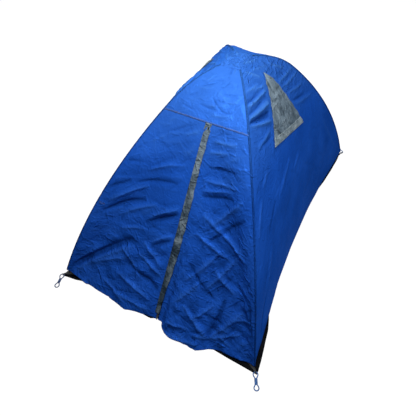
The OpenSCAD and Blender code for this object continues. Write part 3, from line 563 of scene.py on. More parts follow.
class Sheet:
    """A rectangle of cloth on a fine grid. u runs across and w runs up, both from 0 to 1."""

    def __init__(self, cols, rows, seed=0):
        self.rng = np.random.default_rng(seed)
        self.mesh = bpy.data.meshes.new("cloth")
        reshape(self.mesh, lambda bm: bmesh.ops.create_grid(bm, x_segments=cols, y_segments=rows, size=0.5))
        grid = self.read(self.mesh.vertices, "co")
        self.u, self.w = grid[:, 0] + 0.5, grid[:, 1] + 0.5
        self.lift, self.fold = np.zeros(len(grid)), np.zeros(len(grid))
        self.crumple = np.ones(len(grid))

    def read(self, items, key):
        values = np.empty(len(items) * 3, np.float32)
        items.foreach_get(key, values)
        return values.reshape(-1, 3).astype(float)

    def write(self, points):
        self.mesh.vertices.foreach_set("co", points.astype(np.float32).ravel())
        self.mesh.update()

    def place(self, points, flat, inside=(0, 0, 0.2)):
        """Puts the cloth in its place. Flat is where each point is on the cut cloth, in metres."""
        self.points, self.flat = points, flat
        self.write(points)
        self.normal = self.read(self.mesh.vertex_normals, "vector")
        self.inward = (self.normal * (points - np.array(inside))).sum() < 0
        if self.inward:
            self.normal = -self.normal

    def billow(self, size, height, count=24, mask=1.0):
        """Soft swells of the cloth, about one size apart."""
        swell = 0
        for _ in range(count):
            turn, phase = self.rng.uniform(0, 2 * math.pi, 2)
            pitch = size * self.rng.uniform(0.7, 1.7)
            along = self.flat @ (math.cos(turn), math.sin(turn))
            swell = swell + np.sin(2 * math.pi * along / pitch + phase)
        self.lift += mask * height * swell / math.sqrt(count)

    def facets(self, size, slope, count, turn=None, spread=0.3, mask=1.0):
        """Flat facets between straight creases, as cloth keeps them from the bag."""
        for _ in range(count):
            angle = self.rng.uniform(0, math.pi) if turn is None else self.rng.normal(turn, spread)
            pitch = size * self.rng.uniform(0.6, 1.5)
            wander, uneven, spell = self.rng.uniform((0.5, 1.3, 0.5), (1.1, 2.2, 1.1))
            shifts = self.rng.uniform(0, 2 * math.pi, 4)
            along = self.flat @ (math.cos(angle), math.sin(angle)) / pitch
            across = self.flat @ (-math.sin(angle), math.cos(angle)) / pitch
            line = across + 0.16 * np.sin(wander * along + shifts[0])
            line = line + 0.3 * np.sin(uneven * across + shifts[1])
            wave = np.abs((line + shifts[2]) % 1 - 0.5) * 4 - 1
            strength = ease(0.5 + 0.7 * np.sin(spell * along + 1.7 * np.sin(0.6 * across) + shifts[3]))
            self.lift += mask * slope * pitch / 4 * wave * strength

    def crease(self, start, end, width, height, bend=0.0):
        """One fold: a crest, or a valley where height is negative, that runs out at both ends."""
        start, way = np.array(start), np.array(end) - np.array(start)
        length = np.hypot(*way)
        away = self.flat - start
        along = away @ way / length ** 2
        across = (away[:, 0] * way[1] - away[:, 1] * way[0]) / length
        near = np.flatnonzero((along > 0) & (along < 1) & (np.abs(across) < 9 * width + abs(bend) * length))
        taper = np.sin(math.pi * along[near])
        off = np.sqrt((across[near] - bend * length * taper) ** 2 + (0.25 * width) ** 2) / width
        rise = height * np.sqrt(taper) * (1.25 * np.exp(-off) - 0.5 * np.exp(-off / 2.2))
        self.lift[near] += rise
        self.fold[near] += rise

    def crinkle(self, count, lengths, widths, slopes, turn=None, spread=0.35, keep=None):
        """Many small folds. Turn is the way that they favour."""
        low, high = self.flat.min(0), self.flat.max(0)
        for _ in range(count):
            middle = self.rng.uniform(low, high)
            angle = self.rng.uniform(0, math.pi) if turn is None else self.rng.normal(turn, spread)
            ranges = (lengths, widths, slopes, (-0.12, 0.12), (-0.75, 1))
            size, width, slope, bend, side = (self.rng.uniform(*pair) for pair in ranges)
            way = size / 2 * np.array((math.cos(angle), math.sin(angle)))
            if keep is None or keep(*middle):
                self.crease(middle - way, middle + way, width, math.copysign(slope * width, side), bend)

    def folds(self, lines, strength=2.1):
        for start, end, width, height in lines:
            self.crease(start, end, width, strength * height, bend=0.03)

    def finish(self, name, material, hold=1.0, thickness=CLOTH_T, cut=None):
        """Lifts the cloth by its folds, weighted by hold, and gives it its thickness."""
        lifted = self.points + self.normal * (self.lift * hold)[:, None]
        self.write(lifted)
        if self.inward:
            self.mesh.flip_normals()
        corners = np.empty(len(self.mesh.loops), np.int32)
        self.mesh.loops.foreach_get("vertex_index", corners)
        flat = self.flat[corners].astype(np.float32).ravel()
        self.mesh.uv_layers.new(name="flat").data.foreach_set("uv", flat)
        # Fold heights, for paler crests from wear and a painted highlight and for painted shade in valleys
        fold_wear_and_shade = np.clip(self.fold * hold / FOLD_WEAR_AND_SHADE_AT, -1, 1)
        for key, values in (("crease", fold_wear_and_shade), ("crumple", self.crumple)):
            layer = self.mesh.attributes.new(key, "FLOAT", "POINT")
            layer.data.foreach_set("value", values.astype(np.float32))
        if cut:
            reshape(self.mesh, cut)
        self.mesh.shade_smooth()
        self.mesh.materials.append(material)
        self.mesh.name = name
        made = add_object(name, self.mesh)
        wall = made.modifiers.new("thickness", "SOLIDIFY")
        wall.thickness, wall.offset = thickness, -1
        return made


def merge_seam(mesh):
    """Joins the two edges that meet where a sheet was rolled into a tube."""
    reshape(mesh, lambda bm: bmesh.ops.remove_doubles(bm, verts=bm.verts, dist=1e-5))


# Outward swell of the front hem at the ground, by distance from the zip
RIGHT_HEM = (
    (0.03, 0.014), (0.078, 0.050), (0.128, 0.060), (0.18, 0.054), (0.235, 0.062), (0.272, 0.064),
    (0.30, 0.044), (0.335, 0.02), (0.38, 0.005), (0.45, 0),
)
LEFT_HEM = (
    (0.03, 0.012), (0.07, 0.006), (0.128, 0.015), (0.165, 0.023), (0.199, 0.034), (0.255, 0.025),
    (0.29, 0.02), (0.325, 0.01), (0.403, 0.008), (0.483, 0.001),
)
RIGHT_HEM_LIFT, RIGHT_LIFT_FROM = 0.016, 0.40


def in_metres(*rows):
    """Folds as start and end on the cloth, width and height. The rows are in mm, the height in tenths."""
    return [((a / 1000, b / 1000), (c / 1000, d / 1000), w / 1000, h / 10000) for a, b, c, d, w, h in rows]


# Folds that stand out in the photograph
RIGHT_FOLDS = in_metres(
    (34, 1100, 167, 1122, 10, 40), (52, 965, 215, 1005, 12, -50), (44, 897, 239, 930, 14, 60),
    (30, 1040, 146, 1075, 10, 40), (57, 813, 238, 865, 14, -60), (50, 840, 220, 900, 12, 50),
    (168, 692, 286, 899, 14, 70), (94, 726, 393, 602, 16, 90), (165, 585, 324, 817, 14, -70),
    (84, 616, 318, 538, 14, 70), (100, 323, 246, 566, 14, 80), (99, 438, 290, 286, 14, -70),
    (225, 319, 341, 573, 14, 80), (81, 181, 207, 400, 13, 80), (236, 464, 395, 365, 14, 80),
    (322, 53, 463, 297, 15, 90), (322, 53, 130, 192, 14, 90), (322, 53, 347, 315, 14, -90),
    (322, 53, 65, 47, 14, 90), (322, 53, 485, 157, 13, 70), (83, 28, 288, 83, 14, -80),
    (61, -30, 288, 10, 14, 80), (510, 398, 600, 113, 12, 50), (473, 441, 575, 145, 12, -50),
    (200, 130, 300, 260, 12, 80), (380, 100, 460, 50, 12, 70), (240, 200, 400, 160, 12, -70),
    (420, 220, 540, 300, 12, 60),
)
LEFT_FOLDS = in_metres(
    (660, 50, 263, 433, 22, -130), (620, 50, 250, 385, 18, 80), (620, 120, 391, 345, 18, 80),
    (211, 549, 30, 668, 16, -90), (200, 585, 30, 700, 14, 70), (157, 414, 34, 511, 14, -80),
    (150, 450, 40, 540, 12, 60), (441, 645, 239, 761, 14, 60), (472, 565, 243, 677, 14, -70),
    (383, 537, 166, 677, 14, 70), (212, 363, 28, 269, 14, 80), (266, 273, 40, 189, 14, -80),
    (324, 56, 55, 34, 14, 70), (316, 181, 72, 103, 15, 90), (551, 672, 334, 785, 14, -50),
    (263, 856, 65, 935, 12, 40), (305, 772, 83, 829, 13, -50), (503, 164, 272, 297, 14, 70),
    (420, 100, 220, 20, 13, 70), (200, 440, 60, 340, 12, 60), (340, 360, 160, 220, 12, 60),
    (360, 460, 190, 520, 12, 50),
)
UPPER_FOLDS = in_metres(
    (-87, -282, -9, -226, 6, -30), (-88, -257, -41, -170, 6, 22), (-9, -330, 63, -389, 6, -32),
    (27, -294, 100, -280, 6, -22), (-59, -385, 34, -391, 7, -30), (21, -426, 106, -404, 8, 32),
    (15, -263, 47, -192, 6, -22), (-147, -409, -69, -426, 6, -22), (12, -334, 93, -339, 7, -30),
    (49, -391, 120, -388, 6, -30), (-10, -380, 44, -366, 6, 28), (-138, -363, -91, -324, 6, -20),
    (36, -150, 28, -60, 7, 40), (55, -341, 123, -317, 7, 30), (23, -190, 14, -100, 6, -24),
    (-110, -300, -20, -270, 6, 20),
)
SIDE_FOLDS = in_metres(
    (-270, -335, 30, -370, 12, 80), (-320, -395, 30, -453, 16, 95), (-330, -410, -30, -522, 16, -80),
    (-330, -423, -65, -577, 12, 75), (-340, -584, -165, -587, 10, 45), (-295, -601, -150, -636, 10, -35),
    (-200, -255, -60, -293, 9, 55), (-250, -312, -120, -338, 8, -45), (-300, -372, -115, -400, 8, -45),
    (-150, -286, 35, -358, 10, 55), (85, -416, 338, -435, 10, 50), (110, -470, 352, -497, 10, 50),
    (160, -540, 373, -604, 10, 45), (165, -609, 379, -692, 10, -40), (119, -252, 245, -396, 9, 40),
    (-38, -178, 88, -245, 9, 45), (197, -659, 481, -756, 13, 40), (-35, -70, 66, -151, 10, 50),
    (-80, -139, -9, -287, 10, 50), (-327, -761, -435, -812, 12, 30), (-50, -919, -276, -1022, 14, 40),
    (-475, -852, -621, -1015, 14, 40), (-339, -1000, -499, -1126, 14, -40), (112, -990, -27, -1047, 12, 30),
    (-513, -1252, -698, -1491, 16, 40), (-600, -1400, -850, -1660, 16, -40), (550, -1000, 800, -1500, 16, 40),
)


def fold_at(v, foot_x):
    """Distance of a leaf's fold from the zip, at v up the slope."""
    return np.maximum(0, foot_x * (ZIP_TOP - v) / (ZIP_TOP - FOLD_FOOT))


def front_swell(x, v, foot_x, hem):
    """Height of the front cloth above the flat slope: the hem's waves, which die out up the slope."""
    at_hem = x * foot_x / np.maximum(0.004, fold_at(v, foot_x))
    out = np.interp(at_hem, *zip(*hem)) * COS_L
    up = np.clip(v / LEAF_TOP, 0, 1)
    return out * (1 - up) ** 2.4 * ease((x - 0.026) / 0.04)


def front_points(side, x, v):
    """Points of the lower front, at x from the zip and v up the slope."""
    foot_x, hem = (RIGHT_FOOT_X, RIGHT_HEM) if side > 0 else (LEFT_FOOT_X, LEFT_HEM)
    reach = reach_at(v * COS_L)
    edge = KX * reach - side * ZIP_X
    fold = fold_at(v, foot_x)
    points = on_slope(side * x, v, front_swell(x, v, foot_x, hem))
    points[:, 1] += ease((x - fold) / np.maximum(0.004, edge - fold)) * (BASE_L / 2 - v * SIN_L - KY * reach)
    return points


PATCH_AT, PATCH_SIZE = (0.474, 0.622), (0.032, 0.019)


def ridge_patch(name, seed, material):
    """Small sewn patch beside the left ridge."""
    sheet = Sheet(16, 10, seed)
    x, v = (at + size * (part - 0.5) for at, size, part in zip(PATCH_AT, PATCH_SIZE, (sheet.u, sheet.w)))
    sheet.place(front_points(-1, x, v + 0.25 * (x - PATCH_AT[0])), stack(v - PATCH_AT[1], x))
    sheet.crinkle(24, (0.01, 0.03), (0.003, 0.005), (0.1, 0.25))
    sheet.lift += 0.0022
    return sheet.finish(name, material, thickness=0.0006)


def lower_front(name, side, seed, material):
    """Half of the lower front, from the zip to a ridge, in one cloth across the leaf's fold."""
    right = side > 0
    if right:
        foot_x, hem, folds = RIGHT_FOOT_X, RIGHT_HEM, RIGHT_FOLDS
    else:
        foot_x, hem, folds = LEFT_FOOT_X, LEFT_HEM, LEFT_FOLDS
    sheet = Sheet(150, 270, seed)
    u, w = sheet.u, sheet.w
    corner_x = BASE_W / 2 - side * ZIP_X
    hem_x = mix(ZIP_EDGE, corner_x, u)
    hem_z = hem_height(corner_x - hem_x)
    if right:
        rising = np.clip((hem_x - RIGHT_LIFT_FROM) / (corner_x - RIGHT_LIFT_FROM), 0, 1)
        hem_z = mix(HEM_GAP, RIGHT_HEM_LIFT, rising)
    v_low = (hem_z - front_swell(hem_x, 0 * u, foot_x, hem) * SIN_L) / COS_L
    v = mix(v_low, SLOPE_L, w)
    edge = KX * reach_at(v * COS_L) - side * ZIP_X
    x = mix(ZIP_EDGE, edge, u)
    sheet.place(front_points(side, x, v), stack(x, v))
    low = ease((0.8 - v) / 0.5)
    sheet.billow(0.24, 0.004, mask=0.5 + 0.5 * low)
    if right:
        for turn in (1.05, -0.5):
            sheet.facets(0.10, 0.15, 4, turn=turn, spread=0.2, mask=0.25 + 0.75 * low)
        sheet.crinkle(90, (0.08, 0.22), (0.006, 0.012), (0.25, 0.5), turn=0.2, keep=lambda a, b: b > 0.7)
        for turn in (1.0, -0.6):
            sheet.crinkle(110, (0.06, 0.2), (0.006, 0.011), (0.3, 0.6), turn=turn, keep=lambda a, b: b < 0.75)
    else:
        sheet.facets(0.11, 0.13, 4, turn=-0.5, spread=0.25, mask=0.3 + 0.7 * low)
        sheet.facets(0.10, 0.13, 4, turn=0.5, spread=0.3, mask=low)
        sheet.crinkle(150, (0.08, 0.26), (0.006, 0.012), (0.3, 0.55), turn=-0.5, keep=lambda a, b: b > 0.4)
        sheet.crinkle(150, (0.07, 0.24), (0.006, 0.011), (0.3, 0.6), turn=0.5, keep=lambda a, b: b < 0.45)
    sheet.crinkle(170, (0.08, 0.25), (0.005, 0.008), (0.2, 0.5))
    by_hem = 0.26 if right else 0.2
    sheet.crinkle(620, (0.03, 0.11), (0.005, 0.007), (0.4, 0.8), keep=lambda a, b: b < by_hem)
    sheet.crumple = mix(0.75 if right else 0.35, 1.0, low)
    sheet.lift *= 0.6
    sheet.folds(folds, 2.7)
    sheet.lift = np.where(v < 0.1, np.maximum(-0.005, sheet.lift), sheet.lift)
    hold = ease((edge - x - 0.008) / 0.03) * ease((SLOPE_L - 0.008 - v) / 0.03)
    hold = hold * mix(0.08, 1, ease((x - 0.024) / 0.03))
    if not right:
        hold = hold * ease((np.hypot(x - PATCH_AT[0], v - PATCH_AT[1]) - 0.02) / 0.03)
    return sheet.finish(name, material, hold)


def side_cover(name, side, seed, material):
    """A long side of the cover, with the opening of its vent."""
    sheet = Sheet(236, 186, seed)
    s = 2 * sheet.u - 1
    hem_z = hem_height((1 - np.abs(s)) * BASE_L / 2)
    if side > 0:
        hem_z = np.where(s < 0, np.minimum(hem_z, RIGHT_HEM_LIFT), hem_z)
    low = run_down(hem_z)
    run = mix(low, PANEL_START, sheet.w)
    reach, z = ridge(angle_down(run))
    points = stack(side * (KX * reach - bow(SIDE_BOW, z, s)), s * KY * reach, z)
    sheet.place(points, stack(points[:, 1], -run))
    high = ease((0.75 - run) / 0.4)
    sheet.billow(0.3, 0.003)
    sheet.facets(0.09, 0.10, 5, mask=0.25 + 0.75 * high)
    sheet.crinkle(
        260, (0.05, 0.17), (0.006, 0.010), (0.2, 0.5), turn=-0.3, spread=0.5, keep=lambda a, b: b > -0.6
    )
    low_front = (0.65, lambda a, b: b < -0.6 and a < 0.1)
    low_rear = (-0.65, lambda a, b: b < -0.6 and a > -0.1)
    for turn, near in (low_front, low_rear):
        sheet.crinkle(170, (0.12, 0.40), (0.007, 0.013), (0.12, 0.28), turn=turn, spread=0.25, keep=near)
    calm = ease((0.64 - run) / 0.1) * ease((0.04 - points[:, 1]) / 0.08) * ease((run - 0.2) / 0.06)
    sheet.crumple = mix(0.4, 1.3, high) * mix(1, 0.4, calm)
    sheet.lift *= mix(0.6, 0.22, calm)
    sheet.folds(SIDE_FOLDS, 2.6)
    hold = ease(((1 - np.abs(s)) * KY * reach - 0.012) / 0.02) * ease((run - 0.03) / 0.05)
    hold = hold * mix(0.1, 1, ease((outside_vent(points[:, 1], z) - 0.004) / 0.022))
    return sheet.finish(name, material, hold, cut=cut_vent)


def vent_corners(margin):
    """Corners of a vent as depth and height, moved in by a margin."""
    half = VENT_TOP_W / 2
    top_front, top_rear = (VENT_TOP_Y - half, VENT_TOP_Z), (VENT_TOP_Y + half, VENT_TOP_Z)
    corners = np.array([top_front, VENT_FRONT, VENT_REAR, top_rear])
    way = corners.mean(0) - corners
    return corners + way * margin / np.linalg.norm(way, axis=1)[:, None]


def edges_of(corners):
    return zip(corners, np.roll(corners, -1, axis=0))


def outside_vent(y, z, margin=0.0):
    """Distance outside a vent's outline, negative inside it."""
    far = []
    for a, b in edges_of(vent_corners(margin)):
        way = (b - a) / np.hypot(*(b - a))
        far.append((y - a[0]) * -way[1] + (z - a[1]) * way[0])
    return -np.min(far, axis=0)


def cut_vent(bm):
    """Cuts the vent's opening out of a long side."""
    for a, b in edges_of(vent_corners(VENT_MARGIN)):
        way = b - a
        bmesh.ops.bisect_plane(
            bm, geom=[*bm.verts, *bm.edges, *bm.faces], dist=1e-5,
            plane_co=(0, *a), plane_no=(0, way[1], -way[0]),
        )
    middles = np.array([face.calc_center_median() for face in bm.faces])
    inside = outside_vent(middles[:, 1], middles[:, 2], VENT_MARGIN) < 0
    bmesh.ops.delete(bm, geom=[face for face, gone in zip(bm.faces, inside) if gone], context="FACES")


def rear_cover(name, seed, material):
    """The rear end of the cover."""
    sheet = Sheet(200, 200, seed)
    s = 2 * sheet.u - 1
    low = run_down(hem_height((1 - np.abs(s)) * BASE_W / 2))
    run = mix(low, PANEL_START, sheet.w)
    reach, z = ridge(angle_down(run))
    points = stack(s * KX * reach, KY * reach - bow(REAR_BOW, z, s), z)
    sheet.place(points, stack(points[:, 0], -run))
    sheet.billow(0.3, 0.0035)
    sheet.facets(0.11, 0.12, 7, mask=0.4 + 0.6 * ease((run - 0.7) / 0.6))
    for turn, near in ((0.9, lambda a, b: a < 0.1 and b < -0.8), (-0.9, lambda a, b: a > -0.1 and b < -0.8)):
        sheet.crinkle(130, (0.1, 0.35), (0.007, 0.012), (0.2, 0.45), turn=turn, keep=near)
    sheet.crinkle(240, (0.06, 0.2), (0.006, 0.010), (0.2, 0.5), turn=0.0, spread=0.5)
    sheet.crinkle(420, (0.03, 0.12), (0.004, 0.008), (0.2, 0.45))
    hold = ease(((1 - np.abs(s)) * KX * reach - 0.008) / 0.03) * ease((run - 0.03) / 0.05)
    return sheet.finish(name, material, hold)


def upper_front(name, seed, material):
    """The front of the cover above its seam."""
    sheet = Sheet(150, 140, seed)
    s = 2 * sheet.u - 1
    seam_run = float(run_down(SEAM_Z))
    run = mix(seam_run, PANEL_START, sheet.w)
    reach, z = ridge(angle_down(run))
    points = stack(s * KX * reach, -KY * reach, z)
    sheet.place(points, stack(points[:, 0], -run))
    sheet.billow(0.2, 0.002)
    sheet.facets(0.09, 0.06, 4)
    sheet.crinkle(110, (0.05, 0.16), (0.005, 0.007), (0.15, 0.4), turn=0.35, spread=0.5)
    sheet.crumple = sheet.crumple * 0.35
    sheet.lift *= 0.55
    sheet.folds(UPPER_FOLDS, 1.6)
    hold = ease(((1 - np.abs(s)) * KX * reach - 0.008) / 0.025) * ease((run - 0.03) / 0.05)
    hold = hold * ease((seam_run - 0.008 - run) / 0.02)
    return sheet.finish(name, material, hold)


# Length of cloth from the crown to the edge of its cap
CAP_REACH = 0.105


def crown_cap(name, seed, material):
    """Cloth bunched up where the four panels meet over the crossed poles."""
    sheet = Sheet(110, 110, seed)
    a, b = 2 * sheet.u - 1, 2 * sheet.w - 1
    far = np.maximum(np.abs(a), np.abs(b))
    reach, z = ridge(angle_down(CAP_REACH * far))
    scale = reach / np.maximum(far, 1e-6)
    points = stack(a * KX * scale, b * KY * scale, z)
    sheet.place(points, CAP_REACH * stack(a * KX, b * KY) * 1.4)
    turn = np.arctan2(b, a)
    phases = sheet.rng.uniform(0, 6, 4)
    pleats = sum(np.abs(np.sin((k + 3) * turn + phase)) for k, phase in enumerate(phases)) / 4
    sheet.lift += 0.0045 * pleats * ease(far * 2.5) * ease((1 - far) * 2.2)
    sheet.crinkle(60, (0.03, 0.12), (0.004, 0.007), (0.2, 0.5))
    puckers = sheet.rng.uniform((0, 0.01, 0.05, -0.8), (2 * math.pi, 0.04, 0.10, 1), (44, 4))
    for way, near, length, height in puckers:
        aim = np.array((math.cos(way), math.sin(way)))
        sheet.crease(aim * near, aim * (near + length), 0.0045, math.copysign(0.0042, height), bend=0.06)
    # Every fold of the cap counts as a crest, so the cap is painted paler as a highlight and none of it
    # darker with painted shade
    sheet.fold = np.abs(sheet.fold)
    sheet.crumple = sheet.crumple * 1.6
    hold = ease((1 - far) * 3.5)
    loose = 0.0035 * hold
    sheet.lift = 0.0014 + loose + np.maximum(-0.0006 - loose, sheet.lift * hold)
    return sheet.finish(name, material)


LAP_FRONT, LAP_SIDE, LAP_T, SEAM_HALF = 0.006, 0.011, 0.0006, 0.0045


def ridge_lap(name, sx, sy, material):
    """Folded seam down a ridge: a narrow lap that turns over from the end panel to the long side."""
    sheet = Sheet(8, 260, 40 + sx + 2 * sy)
    hem_z = RIGHT_HEM_LIFT if (sx, sy) == (1, -1) else CORNER_LIFT
    run = mix(float(run_down(hem_z + 0.004)), 0.05, sheet.w)
    reach, z = ridge(angle_down(run))
    across = mix(-LAP_FRONT, LAP_SIDE, sheet.u)
    s = 1 - np.maximum(0, across) / (KY * reach)
    out = KX * reach - np.maximum(0, -across) - bow(SIDE_BOW, z, s)
    points = stack(sx * out, sy * s * KY * reach, z)
    sheet.place(points, stack(across - (LAP_SIDE - LAP_FRONT) / 2, run))
    sheet.crinkle(130, (0.01, 0.04), (0.003, 0.006), (0.1, 0.22), turn=0.0, spread=0.5)
    sheet.lift = sheet.lift * 0.6 + 0.0011 + 0.0008 * np.sin(math.pi * sheet.u)
    return sheet.finish(name, material, thickness=LAP_T)


def front_seam(name, material):
    """Seam tape across the front, where the upper panel meets the slope."""
    sheet = Sheet(150, 6, 47)
    across = mix(-SEAM_HALF, SEAM_HALF, sheet.w)
    seam_run = float(run_down(SEAM_Z))
    z = np.where(across < 0, SEAM_Z + across * COS_L, SEAM_Z)
    reach, height = ridge(angle_down(seam_run - np.maximum(0, across)))
    z = np.where(across < 0, z, height)
    x = (2 * sheet.u - 1) * KX * np.where(across < 0, reach_at(z), reach)
    y = np.where(across < 0, -BASE_L / 2 + z * SIN_L / COS_L, -KY * reach)
    sheet.place(stack(x, y, z), stack(across, x))
    sheet.crinkle(60, (0.01, 0.05), (0.003, 0.006), (0.1, 0.25), turn=1.57, spread=0.4)
    sheet.lift = sheet.lift * 0.6 + 0.0012 + 0.0008 * np.sin(math.pi * sheet.w)
    return sheet.finish(name, material, thickness=LAP_T)


# Storm flap


FLAP_ARCH = 0.003
# Right edge of the storm flap by height up the slope
FLAP_EDGE = (
    (0.04, 0.006), (0.12, 0.008), (0.2, 0.010), (0.29, 0.018), (0.4, 0.023), (0.52, 0.0245), (0.73, 0.021),
    (0.93, 0.012), (1.2, 0.0125),
)


def storm_flap_cloth(name, seed, material):
    """Strip sewn down its left edge, which lies loose over the zip."""
    sheet = Sheet(22, 330, seed)
    c, v = sheet.u, mix(FLAP_LOW, FLAP_TOP, sheet.w)
    right = np.interp(v, *zip(*FLAP_EDGE)) + 0.0015 * np.sin(v * 43) + 0.001 * np.sin(v * 97)
    x = mix(-FLAP_SEWN, right, c)
    curl = 0.0022 * c ** 2 * (1 + np.sin(v * 31) * np.sin(v * 12 + 1))
    twist = 0.006 * c * np.exp(-((v - 0.25) / 0.09) ** 2)
    points = on_slope(x, v, 0.0012 + (FLAP_LIFT + FLAP_ARCH * np.sin(math.pi * c)) + curl + twist)
    sheet.place(points, stack(x, v), inside=(0, 0, 0))
    sheet.crinkle(330, (0.015, 0.05), (0.003, 0.006), (0.15, 0.4), turn=0.0, spread=0.9)
    sheet.crinkle(60, (0.05, 0.14), (0.004, 0.007), (0.15, 0.35), turn=1.4, spread=0.25)
    sheet.lift = np.maximum(-0.0008, sheet.lift)
    return sheet.finish(name, material, mix(0.3, 1, ease(c * 4)), thickness=0.0009)


# Top of the still cloth that moves with the left leaf, foot of the fixed cloth beside it, foot of the head
FLAP_STILL, HEAD_LOW, STRIP_LOW = ZIP_TOP - 0.0245, ZIP_TOP - 0.0300, ZIP_TOP - 0.0024


def top_edge(v):
    """Left edge of the flap's still top, just inside the left leaf's fold."""
    return -np.minimum(FLAP_SEWN, fold_at(v, LEFT_FOOT_X) - 0.0025)


def head_edge(v):
    """Right edge of the flap's fixed cloth, outside the left leaf's fold and beside the zip's top stop."""
    return -np.maximum(fold_at(v, LEFT_FOOT_X) + 0.0035, 0.0095)


def sewn_edge(v):
    """Left edge of the flap's fixed cloth."""
    return 0 * v - FLAP_SEWN - 0.001


def free_edge(v):
    """Right edge of the flap's still cloth."""
    return 0 * v + 0.013


def flap_top(name, seed, material, low, high, left, right, arch):
    """Still cloth of the flap, at the top of the zip, between a left and a right edge."""
    sheet = Sheet(22, 44, seed)
    c, v = sheet.u, mix(low, high, sheet.w)
    x = mix(left(v), right(v), c)
    height = 0.0011 + arch * np.sin(math.pi * np.clip(c, 0, 1)) ** 0.6
    from_fold = np.maximum(0.0, x + fold_at(v, LEFT_FOOT_X) - 0.0029) + 9 * (x < -fold_at(v, LEFT_FOOT_X))
    points = on_slope(x, v, np.minimum(height, 0.0009 + 1.15 * from_fold))
    sheet.place(points, stack(x, v), inside=(0, 0, 0))
    sheet.crinkle(40, (0.015, 0.04), (0.003, 0.006), (0.15, 0.35))
    sheet.lift = np.maximum(-0.0004, sheet.lift)
    return sheet.finish(name, material, 0.6 * ease(c * 6) * ease((1 - c) * 6), thickness=0.0007)


# Vents


def vent_sheet(
    name, side, seed, material, margin, lift, height, sag, to_w=1, drawn_in=0.0, band=False, peak=0.0
):
    """Cloth over a vent, from the foot of its outline up to to_w of its height."""
    sheet = Sheet(90, max(8, int(120 * to_w)), seed)
    top_front, low_front, low_rear, top_rear = vent_corners(margin)
    w, u = to_w * sheet.w, sheet.u
    pointed = 0.5 + (u - 0.5) * (1 - peak * np.clip((w - 0.88) / 0.12, 0, 1))
    place = mix(mix(low_front, top_front, w[:, None]), mix(low_rear, top_rear, w[:, None]), pointed[:, None])
    pull = drawn_in * np.sin(math.pi * np.clip(w * 0.92 + 0.04, 0, 1))
    pull = pull + 0.002 * np.sin(41 * w) + 0.0015 * np.sin(83 * w + 1)
    place[:, 0] += pull * (1 - u) - 0.0025 * np.sin(37 * w + 2) * u
    puff = sag * np.sin(math.pi * u) * np.sin(math.pi * np.clip(w, 0, 1)) ** 0.7
    reach = reach_at(place[:, 1], lift + puff)
    out = KX * reach - bow(SIDE_BOW, place[:, 1], place[:, 0] / (KY * reach))
    points = stack(side * out, place[:, 0], place[:, 1])
    down = (w - to_w / 2) * np.hypot(*(top_front - low_front))
    sheet.place(points, stack(down, place[:, 0]) if band else place)
    sheet.crinkle(110, (0.03, 0.12), (0.004, 0.009), (0.4 * height, height))
    sheet.crinkle(40, (0.06, 0.16), (0.006, 0.011), (0.5 * height, height), turn=1.9, spread=0.4)
    sheet.lift = np.maximum(-0.0014, sheet.lift) * (1 if band else ease((w - 0.08) / 0.1))
    hold = ease(u * 10) * ease((1 - u) * 10)
    return sheet.finish(name, material, hold, thickness=0.0008)


# Hem band as a share of the vent's height, how far flaps lie over the cover, and the flaps' shared shape
BAND, OVER, BAND_OVER = 0.13, VENT_GAP + 0.0022, VENT_GAP + 0.0022 + 0.0020
FLAP_SHAPE = dict(sag=0.007, drawn_in=0.016)

# Floor
TUB_H, TUB_INSET, TUB_CUT, TUB_END, TUB_BEHIND = 0.070, 0.016, 0.070, 0.955, 0.009
# Front edge of the floor by place across, and how far its sides stand out past the hems by place along
FLOOR_FRONT = (
    (-0.66, -1.022), (-0.62, -1.014), (-0.56, -1.0065), (-0.50, -0.990), (-0.10, -0.990), (-0.07, -1.008),
    (-0.02, -1.010), (0.02, -0.990), (0.34, -0.992), (0.38, -1.006), (0.48, -1.013), (0.57, -1.017),
    (0.655, -1.0215),
)
FLOOR_RIGHT = (
    (-1.0, 0.021), (-0.94, 0.024), (-0.88, 0.024), (-0.82, 0.022), (-0.76, 0.021), (-0.70, 0.010),
    (-0.64, -0.006), (0.45, -0.006), (0.6, 0.008), (0.75, 0.011), (0.9, 0.006), (0.98, -0.004),
)
FLOOR_LEFT = ((-1.0, 0.004), (-0.9, -0.002), (-0.8, -0.006), (0.98, -0.006))
EYELET_HOLE = 0.0095


def tub_ring(z, fine=60):
    """Outline of the floor's wall at a height, anticlockwise from the left end of the front."""
    reach = float(reach_at(z, -TUB_INSET))
    end_x, front_y = KX * reach - TUB_CUT, -BASE_L / 2 + z * SIN_L / COS_L + TUB_BEHIND / COS_L
    along = np.linspace(-1, 1, fine)
    front = stack(end_x * along, 0 * along + front_y)
    s = TUB_END * along
    right = stack(KX * reach - bow(SIDE_BOW, z, s), s * KY * reach)
    rear_x = -end_x * along
    rear = stack(rear_x, KY * reach - bow(REAR_BOW, z, rear_x / (KX * reach)))
    left = right[::-1] * (-1, 1)
    corners = [(front[-1], right[0]), (right[-1], rear[0]), (rear[-1], left[0]), (left[-1], front[0])]
    turns = [mix(a, b, np.linspace(0, 1, 8)[1:-1, None]) for a, b in corners]
    return np.concatenate([front, turns[0], right, turns[1], rear, turns[2], left, turns[3], front[:1]])


